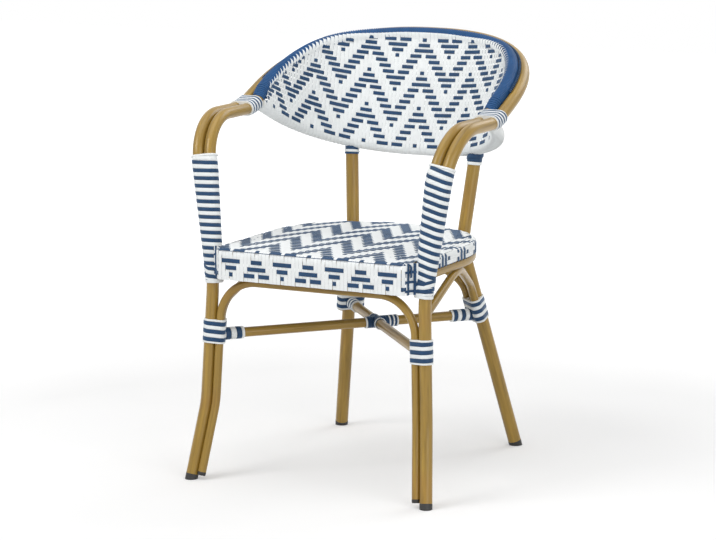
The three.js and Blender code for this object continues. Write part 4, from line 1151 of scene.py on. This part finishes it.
class MakeFrameTubes(bpy.types.Operator):
    """Bends the rear legs, arches, stretchers and seat frame"""

    bl_idname = "bistro_chair.make_frame_tubes"
    bl_label = "Frame tubes"

    def execute(self, context):
        leg_end = REAR_TOP - (REAR_TOP - REAR_KNEE).normalized() * LEG_SHORT
        leg = rounded([REAR_FOOT + REAR_AXIS * TUBE_START, REAR_KNEE, leg_end], [REAR_LEG_BEND])
        make_tube_pair("rear_leg", leg, REAR_RADIUS)

        beside = Vector((-ARCH_GAP, 0, 0))
        arch_top = APRON_BOTTOM - CLEAR - ARCH_RADIUS
        corners = [level(FOOT, KNEE, ARCH_FOOT), KNEE, level(KNEE, WAIST, arch_top)]
        corners = [corner + beside for corner in corners]
        knee_bend, top_bend = HOOP_BENDS[0], arch_top - LEG_WRAP_TOP
        front = rounded(corners + mirrored(corners), [knee_bend, top_bend, top_bend, knee_bend])
        make_tubes("front_arch_tube", [(front, ARCH_RADIUS)], ["front_arch"])

        inset, below = SIDE_ARCH_INSET, RAIL_RADIUS + ARCH_RADIUS + CLEAR
        drop = math.sqrt(below ** 2 - inset ** 2)
        apex = at(SEAT_CURVE[0] - RAIL_RADIUS - inset, SEAT_CURVE_START, RAIL_HEIGHT - drop)
        front = [level(KNEE, WAIST, z) + SIDE_FRONT_OFFSET for z in (LEG_WRAP_BOTTOM, ARCH_LEAVE)]
        rear = [level(REAR_FOOT, REAR_KNEE, z) + SIDE_REAR_OFFSET for z in (ARCH_LEAVE, LEG_WRAP_BOTTOM)]
        peak = corner_past(apex, front[1], rear[0], SIDE_ARCH_BEND)
        line = rounded(front + [peak] + rear, [ARCH_FOOT_BEND, SIDE_ARCH_BEND, ARCH_FOOT_BEND])
        make_tube_pair("side_arch", line, ARCH_RADIUS)

        back = [level(REAR_FOOT, REAR_KNEE, z) + REAR_ARCH_OFFSET for z in (LEG_WRAP_BOTTOM, ARCH_LEAVE)]
        top = seat_edge(math.pi / 2, RAIL_RADIUS, RAIL_HEIGHT - below)
        peak = corner_past(top, back[1], mirror(back[1]), REAR_ARCH_BEND)
        line = rounded(back + [peak] + mirrored(back), [ARCH_FOOT_BEND, REAR_ARCH_BEND, ARCH_FOOT_BEND])
        make_tubes("rear_arch_tube", [(line, ARCH_RADIUS)], ["rear_arch"])

        start, end = mirror(STRETCHER_FRONT) + RUN * STRETCHER_SHORT, STRETCHER_REAR - RUN * STRETCHER_SHORT
        steps = [start.lerp(end, k / 12) for k in range(13)]
        make_tubes(
            "stretchers", [(steps, STRETCHER_RADIUS), ([mirror(p) for p in steps], STRETCHER_RADIUS)],
            ["stretcher_whole", "stretcher_front_half", "stretcher_rear_half"])

        make_tubes("seat_rail_tube", [(rail_loop(RAIL_RADIUS, RAIL_HEIGHT), RAIL_RADIUS)], ["seat_rail"])
        loop = rail_loop(FRAME_INSET, FRAME_HEIGHT)
        bar_end = at(FRAME_HALF_WIDTH, CROSS_BAR_SETBACK, CROSS_BAR_HEIGHT)
        half = [
            at(0.0001, FRONT_FRAME_SETBACK, FRONT_FRAME_HEIGHT),
            at(FRAME_HALF_WIDTH, FRONT_FRAME_SETBACK, FRONT_FRAME_HEIGHT),
            at(FRAME_HALF_WIDTH, FRONT_FRAME_SETBACK, FRONT_FRAME_TOP),
        ]
        front_loop = rounded(half + mirrored(half), [FRONT_FRAME_BEND] * 4)
        lines = [
            (loop, FRAME_RADIUS), ([bar_end, mirror(bar_end)], CROSS_BAR_RADIUS),
            (front_loop, FRONT_FRAME_RADIUS),
        ]
        make_tubes("seat_frame_tubes", lines, ["seat_frame", "seat_cross_bar", "front_frame"], 16)
        return {"FINISHED"}


class WeaveBack(bpy.types.Operator):
    """Weaves the back between the lower rail and the rim"""

    bl_idname = "bistro_chair.weave_back"
    bl_label = "Back weave"

    def execute(self, context):
        sizes = context.scene.bistro_chair
        weft = strand_section(sizes.back_row_width, sizes.strand_thickness, WEFT_GROOVE)
        columns, rows, roll = new_piece(), new_piece(), new_piece()
        for column in range(-BACK_LAST, BACK_LAST + 1):
            back_warp(columns, column, sizes.strand_thickness)
        for row in range(BACK_ROWS):
            back_weft(rows, row, weft)
        facings = [BACK_COLUMNS[c].facing for c in sorted(BACK_COLUMNS, reverse=True)]
        lay_tube(roll, [rail_point(f) for f in facings], LOWER_RADIUS + 0.0012)
        finish_piece("back_columns", columns, "white", ["back_panel"])
        finish_piece("back_rows", rows, "navy")
        finish_piece("back_roll", roll, "white", ["back_lower_rail", "back_edge_roll"])
        return {"FINISHED"}


RIM_WOUND_FROM = 0.275  # the setback at which the winding starts
RIM_PITCH, RIM_THICKNESS, RIM_FILL = 0.0046, 0.0017, 0.74
STITCH_PLACE = (0.0116, 0.0096)  # from the outer hoop towards the inner one, and above them
STITCH_PITCH, STITCH_WIDTH, STITCH_THICKNESS, STITCH_CORE = 0.0060, 0.0026, 0.0020, 0.0008


class WindRim(bpy.types.Operator):
    """Winds blue strand close round the rim of the back"""

    bl_idname = "bistro_chair.wind_rim"
    bl_label = "Rim winding"

    def execute(self, context):
        start = INNER.where(1, FRONT + RIM_WOUND_FROM)
        length = INNER.length - 2 * start
        turns = round(length / RIM_PITCH)
        rim = Bundle(INNER, UP, [(0, 0, INNER_RADIUS)])
        winding, groove_shade, stitches = new_piece(), new_piece(), new_piece()
        rim.wind(winding, 0.0004, start, length / turns, turns, RIM_PITCH * RIM_FILL, RIM_THICKNESS, 16)
        # A navy sleeve under the winding shows in the gaps between its turns: painted shade in the grooves
        # between the strands.
        rim.sleeve(groove_shade, start, start + length, 0.0008, 120, 24)

        line = []
        for facing in MIDLINE_FACINGS[12:-12:4]:
            outer = rim_point(facing, 0)
            across = (inner_point(facing) - outer).normalized()
            upward = above(across, rim_tangent(facing))
            line.append(outer + across * STITCH_PLACE[0] + upward * STITCH_PLACE[1])
        cord = Path(line)
        turns = round(cord.length / STITCH_PITCH)
        thread = Bundle(cord, UP, [(0, 0, STITCH_CORE)])
        thread.wind(stitches, 0.0, 0.0, cord.length / turns, turns, STITCH_WIDTH, STITCH_THICKNESS, 8)
        finish_piece("rim_winding", winding, "rim", ["back_rim_wrap"])
        finish_piece("rim_backing", groove_shade, "navy")
        finish_piece("rim_stitches", stitches, "navy")
        return {"FINISHED"}


class WeaveSeat(bpy.types.Operator):
    """Weaves the seat with its apron and side bands"""

    bl_idname = "bistro_chair.weave_seat"
    bl_label = "Seat weave"

    def execute(self, context):
        sizes = context.scene.bistro_chair
        warp = strand_section(sizes.warp_width, sizes.strand_thickness)
        weft = strand_section(sizes.weft_width, sizes.strand_thickness, WEFT_GROOVE)
        columns, rows = new_piece(), new_piece()
        for column in range(-SEAT_COLUMNS, SEAT_COLUMNS + 1):
            seat_warp(columns, column, warp)
        for k, z in enumerate(SIDE_RINGS):
            mirrored_too(columns, side_ring, k, z, warp)
        for distance in LACING_WHITE:
            mirrored_too(columns, corner_column, distance, 0.0, LACING_WHITE_WIDTH)
        for row in TOP_ROWS:
            seat_weft(rows, row, weft)
        for row, z in APRON_ROWS + ((6, EDGE_ROW),):
            apron_weft(rows, row, z, weft)
        for k, z in enumerate(REAR_RINGS):
            rear_ring(rows, k, z, weft)
        for distance, width in LACING_BLUE:
            mirrored_too(rows, corner_column, distance, LACING_BLUE_LIFT, width)
        for z in LACING_HEIGHTS:
            mirrored_too(rows, corner_row, z)
        finish_piece("seat_columns", columns, "white", ["seat_weave"])
        finish_piece("seat_rows", rows, "navy")
        return {"FINISHED"}


def arm_circles(distance):
    """The two hoops in an arm: they come together towards the leg."""
    share = (OUTER.at(distance).z - TAPER_FOOT) / (TAPER_TOP - TAPER_FOOT)
    apart = min(max(share, 0.0), 1.0) * PAIR_PITCH * 0.987
    return [(0, 0, HOOP_RADIUS), (max(CLEAR, apart), 0, HOOP_RADIUS)]


def finish_pair(name, bm, kind, nodes):
    """Finishes a piece of the right side, and its twin."""
    other = bm.copy()
    flip(other)
    for side, half in (("_right", bm), ("_left", other)):
        finish_piece(name + side, half, kind, [node + side for node in nodes])


ARM_PITCH, ARM_STRAND = 0.0148, 0.0072
# The way each arm is wound, and the heights of the winding's ends
ARM_ENDS = (("_right", -1, 0.3860, 0.6250), ("_left", 1, 0.3790, 0.6170))


class WindArms(bpy.types.Operator):
    """Winds the arms in blue and white"""

    bl_idname = "bistro_chair.wind_arms"
    bl_label = "Arm windings"

    def execute(self, context):
        arm = Bundle(OUTER, INWARD, arm_circles)
        for colour, kind, shift, spare in (
            ("white", "white", ARM_PITCH / 2, 0.5), ("blue", "navy", 0.0, 0.1),
        ):
            for side, hand, bottom, top in ARM_ENDS:
                low, high = OUTER.where(2, bottom) + ARM_STRAND / 2, OUTER.where(2, top) - ARM_STRAND / 2
                bm = new_piece()
                turns = (high - low) / ARM_PITCH - spare
                arm.wind(bm, 0.0008, low + shift, ARM_PITCH, turns, ARM_STRAND, 0.0015, 32, hand)
                # Rings close the ends: distance, tilt, layer and width
                rings = [(low + 0.0240, 0.0080, 0.0017, 0.0068), (low + 0.0100, 0.0055, 0.0017, 0.0066)]
                if colour == "white":
                    arm.sleeve(bm, low - 0.0030, high + 0.0056, 0.0011, 30)
                    rings = [(low - 0.0010, 0.0, 0.0012, 0.0058), (high + 0.0040, 0.0, 0.0016, 0.0040),
                             (low + 0.0172, 0.0080, 0.0019, 0.0068), (low + 0.0036, 0.0030, 0.0019, 0.0040)]
                for ring in rings:
                    arm.ring(bm, *ring)
                if side == "_left":
                    flip(bm)
                finish_piece("arm_winding_" + colour + side, bm, kind, ["arm_wrap_" + colour + side])
        return {"FINISHED"}


def wind_joint(name, bundle, start, length, stripes, share, count=32):
    """A joint bound in white with blue stripes, which take a share of its length."""
    pitch = length / stripes
    dark, light = pitch * share, pitch * (1 - share)
    white, blue = new_piece(), new_piece()
    bundle.sleeve(white, start, start + length, 0.0011)
    for distance in (start + light / 4, start + length - light / 4):
        bundle.ring(white, distance, 0.0, 0.0012, light * 0.48, 0.0016, count)
    for k in range(stripes):
        bundle.ring(blue, start + (k + 0.5) * pitch, 0.0006, 0.0012, dark * 0.96, 0.0016, count)
        if k:
            bundle.ring(white, start + k * pitch, 0.0006, 0.0012, light * 0.96, 0.0016, count)
    finish_pair(name + "_white", white, "white", [name + "_base"])
    finish_pair(name + "_blue", blue, "navy", [name + "_strand"])


class WindJoints(bpy.types.Operator):
    """Binds the joints of the back, legs and stretchers"""

    bl_idname = "bistro_chair.wind_joints"
    bl_label = "Joint bindings"

    def execute(self, context):
        hoops = Bundle(OUTER, INWARD, [(0, 0, HOOP_RADIUS), (PAIR_PITCH, 0, HOOP_RADIUS)])
        end = OUTER.where(1, FRONT + JOINT_SETBACK)
        wind_joint("back_joint", hoops, end - JOINT_LENGTH, JOINT_LENGTH, 4, 0.5)

        path, height = Path([KNEE, WAIST]), LEG_WRAP_TOP - LEG_WRAP_BOTTOM
        nest = (ARCH_GAP * math.cos(NEST), -ARCH_GAP * math.sin(NEST), ARCH_RADIUS)
        leg = Bundle(path, INWARD, [(0, 0, HOOP_RADIUS), nest, (ARCH_GAP, 0, ARCH_RADIUS)])
        wind_joint("front_leg_joint", leg, path.where(2, LEG_WRAP_BOTTOM), height, 3, 0.53)

        path = Path([REAR_FOOT, REAR_KNEE])
        start = path.where(2, LEG_WRAP_BOTTOM) + 0.006
        x, y = cross_frame(path, start, INWARD)[2:]
        arches = [(o.dot(x), o.dot(y), ARCH_RADIUS) for o in (REAR_ARCH_OFFSET, SIDE_REAR_OFFSET)]
        leg = Bundle(path, INWARD, [(0, 0, REAR_RADIUS)] + arches)
        wind_joint("rear_leg_joint", leg, start, height, 3, 0.53)

        for name, away, origin, length, stripes in (
            ("front_sleeve", mirror(RUN), STRETCHER_FRONT, 0.044, 2),
            ("rear_sleeve", -RUN, STRETCHER_REAR, 0.051, 3),
        ):
            low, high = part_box(name + "_base_right")
            start = abs(min(low[0] - origin.x, high[0] - origin.x, key=abs) / away.x) + 0.002
            rod = Bundle(Path([origin, origin + away * 0.2]), UP, [(0, 0, STRETCHER_RADIUS)])
            wind_joint(name, rod, start, length, stripes, 0.5, 20)
        return {"FINISHED"}


CROSSING_REACHES = (0.0262, 0.0420)  # how far the binding goes out: the usual arm, and the longest
CROSSING_RINGS = (0.0280, 0.0360)  # the longest arm's own rings, blue ones with a white one beside each


class WindCrossing(bpy.types.Operator):
    """Binds the crossing of the stretchers"""

    bl_idname = "bistro_chair.wind_crossing"
    bl_label = "Crossing"

    def execute(self, context):
        white, blue = new_piece(), new_piece()
        for direction in (RUN, mirror(RUN), -RUN, -mirror(RUN)):
            rod = Bundle(Path([CROSSING, CROSSING + direction * 0.05]), UP, [(0, 0, STRETCHER_RADIUS)])
            wide = direction == RUN
            rod.sleeve(blue, 0.0, CROSSING_REACHES[wide], 0.0008, 4, 24)
            for distance in CROSSING_RINGS if wide else ():
                rod.ring(blue, distance, 0.0, 0.0009, 0.0044, 0.0014, 20)
                rod.ring(white, distance + 0.0040, 0.0, 0.0009, 0.0032, 0.0016, 20)
            rod.wind(blue, 0.0009, 0.003, 0.0056, 4, 0.0052, 0.0014, 20)
            rod.wind(white, 0.0009, 0.0225, 0.004, 1, 0.0038, 0.0016, 20)
        finish_piece("crossing_blue", blue, "navy", ["cross_wrap"])
        finish_piece("crossing_white", white, "white")
        return {"FINISHED"}


class WindCollars(bpy.types.Operator):
    """Binds the rear legs to the lower rail of the back"""

    bl_idname = "bistro_chair.wind_collars"
    bl_label = "Collars"

    def execute(self, context):
        path = Path([REAR_TOP - (REAR_TOP - REAR_KNEE).normalized() * 0.06, REAR_TOP])
        end = path.length - 0.008
        leg = Bundle(path, INWARD, [(0, 0, REAR_RADIUS)])
        for side, turns, (dark, dark_width), (light, light_width) in (
            ("_right", 3, (0.0160, 0.0050), (0.0225, 0.0060)),
            ("_left", 1, (0.0175, 0.0036), (0.0130, 0.0050)),
        ):
            white, blue = new_piece(), new_piece()
            leg.sleeve(blue, end - max(light, dark) + 0.002, end, 0.0008, 4, 24)
            leg.wind(blue, 0.0009, end - dark, dark_width * 0.9, turns, dark_width, 0.0013, 24)
            leg.wind(white, 0.0009, end - light, light_width * 0.9, 1, light_width, 0.0013, 24)
            if side == "_right":
                leg.ring(blue, end - 0.0075, 0.0045, 0.0022, 0.0070, 0.0016, 24)
            else:
                flip(blue)
                flip(white)
            finish_piece("rear_leg_collar_blue" + side, blue, "navy", ["rear_leg_collar" + side])
            finish_piece("rear_leg_collar_white" + side, white, "white")
        return {"FINISHED"}


class MakeFeet(bpy.types.Operator):
    """Turns the plastic feet and caps"""

    bl_idname = "bistro_chair.make_feet"
    bl_label = "Feet"

    def execute(self, context):
        arch_foot = level(FOOT, KNEE, ARCH_FOOT) + Vector((-ARCH_GAP, 0, 0))
        for name, base, axis, radius, low, top in (
            ("front_glide", FOOT, FOOT_AXIS, HOOP_RADIUS, -0.004, 0.0099),
            ("rear_glide", REAR_FOOT, REAR_AXIS, REAR_RADIUS, -0.004, 0.0099),
            ("arch_cap", arch_foot, FOOT_AXIS, ARCH_RADIUS, -0.007, 0.0),
        ):
            bm = new_piece()
            cap = name == "arch_cap"
            profile = [(low, radius * 0.86), (low + 0.0008, radius * 0.96), (low + 0.002, radius)]
            profile = profile if cap else [(low, radius)]
            profile += [
                (top - 0.0012, radius + 0.0002), (top - 0.0004, radius + 0.0001), (top, radius * 0.97),
            ]
            side = (Vector((1, 0, 0)) - axis * axis.x).normalized()
            stations = [(base + axis * h, side, axis.cross(side)) for h, r in profile]
            lay(bm, stations, [round_section(r) for h, r in profile])
            if not cap:
                geom = bm.verts[:] + bm.edges[:] + bm.faces[:]
                bmesh.ops.bisect_plane(bm, geom=geom, plane_co=(0, 0, 0), plane_no=UP, clear_inner=True)
                bmesh.ops.contextual_create(bm, geom=[e for e in bm.edges if e.is_boundary])
            finish_pair(name + "_cap", bm, "foot", [name])
        return {"FINISHED"}


FOCAL_PIXELS, PHOTO_WIDTH, SENSOR_WIDTH = 2732.3, 716, 36
LOOKED_AT = Vector((0.007, -0.072, 0.396))


def aim_at(name, data, place, back):
    """A lamp or camera at a place, turned with its back to a direction."""
    holder = bpy.data.objects.new(name, data)
    holder.location = place
    holder.rotation_euler = (-back).to_track_quat("-Z", "Y").to_euler()
    bpy.context.scene.collection.objects.link(holder)
    return holder


class SetStage(bpy.types.Operator):
    """Sets the floor, the studio light and the camera"""

    bl_idname = "bistro_chair.set_stage"
    bl_label = "Stage"

    def execute(self, context):
        scene = context.scene
        finish = Finish("stage paper", 0.9, Specular_IOR_Level=0.0, Emission_Color=WHITE)
        speckle = finish.noise(finish.object_space(), 3.0, 1.0)
        paper = finish.ramp(speckle, (0.3, (0.74, 0.74, 0.74, 1)), (0.7, (0.76, 0.76, 0.76, 1)))
        away = finish.node("ShaderNodeVectorMath", {0: finish.object_space()}, operation="LENGTH")
        reach = {"Value": away.outputs["Value"], "From Min": 0.9, "From Max": 3.0,
                 "To Min": 0.25, "To Max": 0.9}
        farther = finish.node("ShaderNodeMapRange", reach).outputs["Result"]
        glow = finish.math("MULTIPLY", seen_ray(finish.tree), farther)
        bm = bmesh.new()
        bmesh.ops.create_grid(bm, x_segments=1, y_segments=1, size=8)
        mesh = bpy.data.meshes.new("stage_floor")
        bm.to_mesh(mesh)
        bm.free()
        mesh.materials.append(finish.done(Base_Color=paper, Emission_Strength=glow))
        floor = bpy.data.objects.new("stage_floor", mesh)
        floor.location.z = -0.0005
        scene.collection.objects.link(floor)

        world = scene.world = bpy.data.worlds.new("studio")
        world.use_nodes = True
        tree = world.node_tree
        sky = tree.nodes["Background"]
        sky.inputs["Color"].default_value = WHITE
        sky.inputs["Strength"].default_value = 0.47
        backdrop = add_node(tree, "ShaderNodeBackground", {"Color": WHITE, "Strength": 1.0})
        shaders = {0: seen_ray(tree), 1: sky.outputs[0], 2: backdrop.outputs[0]}
        blend = add_node(tree, "ShaderNodeMixShader", shaders)
        tree.links.new(blend.outputs[0], tree.nodes["World Output"].inputs["Surface"])

        for name, place, size, energy in (
            ("key", (-1.6, -2.4, 2.6), 1.6, 42), ("fill", (2.4, -1.6, 1.4), 2.0, 26),
            ("back", (0.8, 2.2, 2.4), 1.6, 18), ("top", (-0.2, -0.4, 3.2), 2.2, 23),
        ):
            lamp = bpy.data.lights.new(name, "AREA")
            lamp.size, lamp.energy = size, energy
            aim_at(name, lamp, Vector(place), Vector(place) - Vector((0, 0, 0.45)))

        azimuth, elevation, distance = math.radians(26.84), math.radians(10.17), 5.256
        reach = math.cos(elevation)
        back = Vector((math.sin(azimuth) * reach, -math.cos(azimuth) * reach, math.sin(elevation)))
        lens = bpy.data.cameras.new("view")
        lens.sensor_width = SENSOR_WIDTH
        lens.lens = FOCAL_PIXELS / PHOTO_WIDTH * SENSOR_WIDTH
        scene.camera = aim_at("view", lens, LOOKED_AT + back * distance, back)
        scene.view_settings.view_transform = "Standard"
        return {"FINISHED"}


OPERATORS = (
    MakeHoops, MakeFrameTubes, WeaveBack, WindRim, WeaveSeat, WindArms, WindJoints, WindCrossing,
    WindCollars, MakeFeet, SetStage,
)


class ChairPanel(bpy.types.Panel):
    """Lists the sizes, the colours and the pieces"""

    bl_idname = "VIEW3D_PT_bistro_chair"
    bl_label = "Bistro Chair"
    bl_space_type = "VIEW_3D"
    bl_region_type = "UI"
    bl_category = "Bistro Chair"

    def draw(self, context):
        for name in ChairSizes.__annotations__:
            self.layout.prop(context.scene.bistro_chair, name)
        for operator in OPERATORS:
            self.layout.operator(operator.bl_idname)


CLASSES = (ChairSizes, *OPERATORS, ChairPanel)


def register():
    for cls in CLASSES:
        bpy.utils.register_class(cls)
    bpy.types.Scene.bistro_chair = bpy.props.PointerProperty(type=ChairSizes)


def unregister():
    del bpy.types.Scene.bistro_chair
    for cls in reversed(CLASSES):
        bpy.utils.unregister_class(cls)


def main():
    register()
    for operator in OPERATORS:
        group, name = operator.bl_idname.split(".")
        getattr(getattr(bpy.ops, group), name)()


if __name__ == "__main__":
    main()
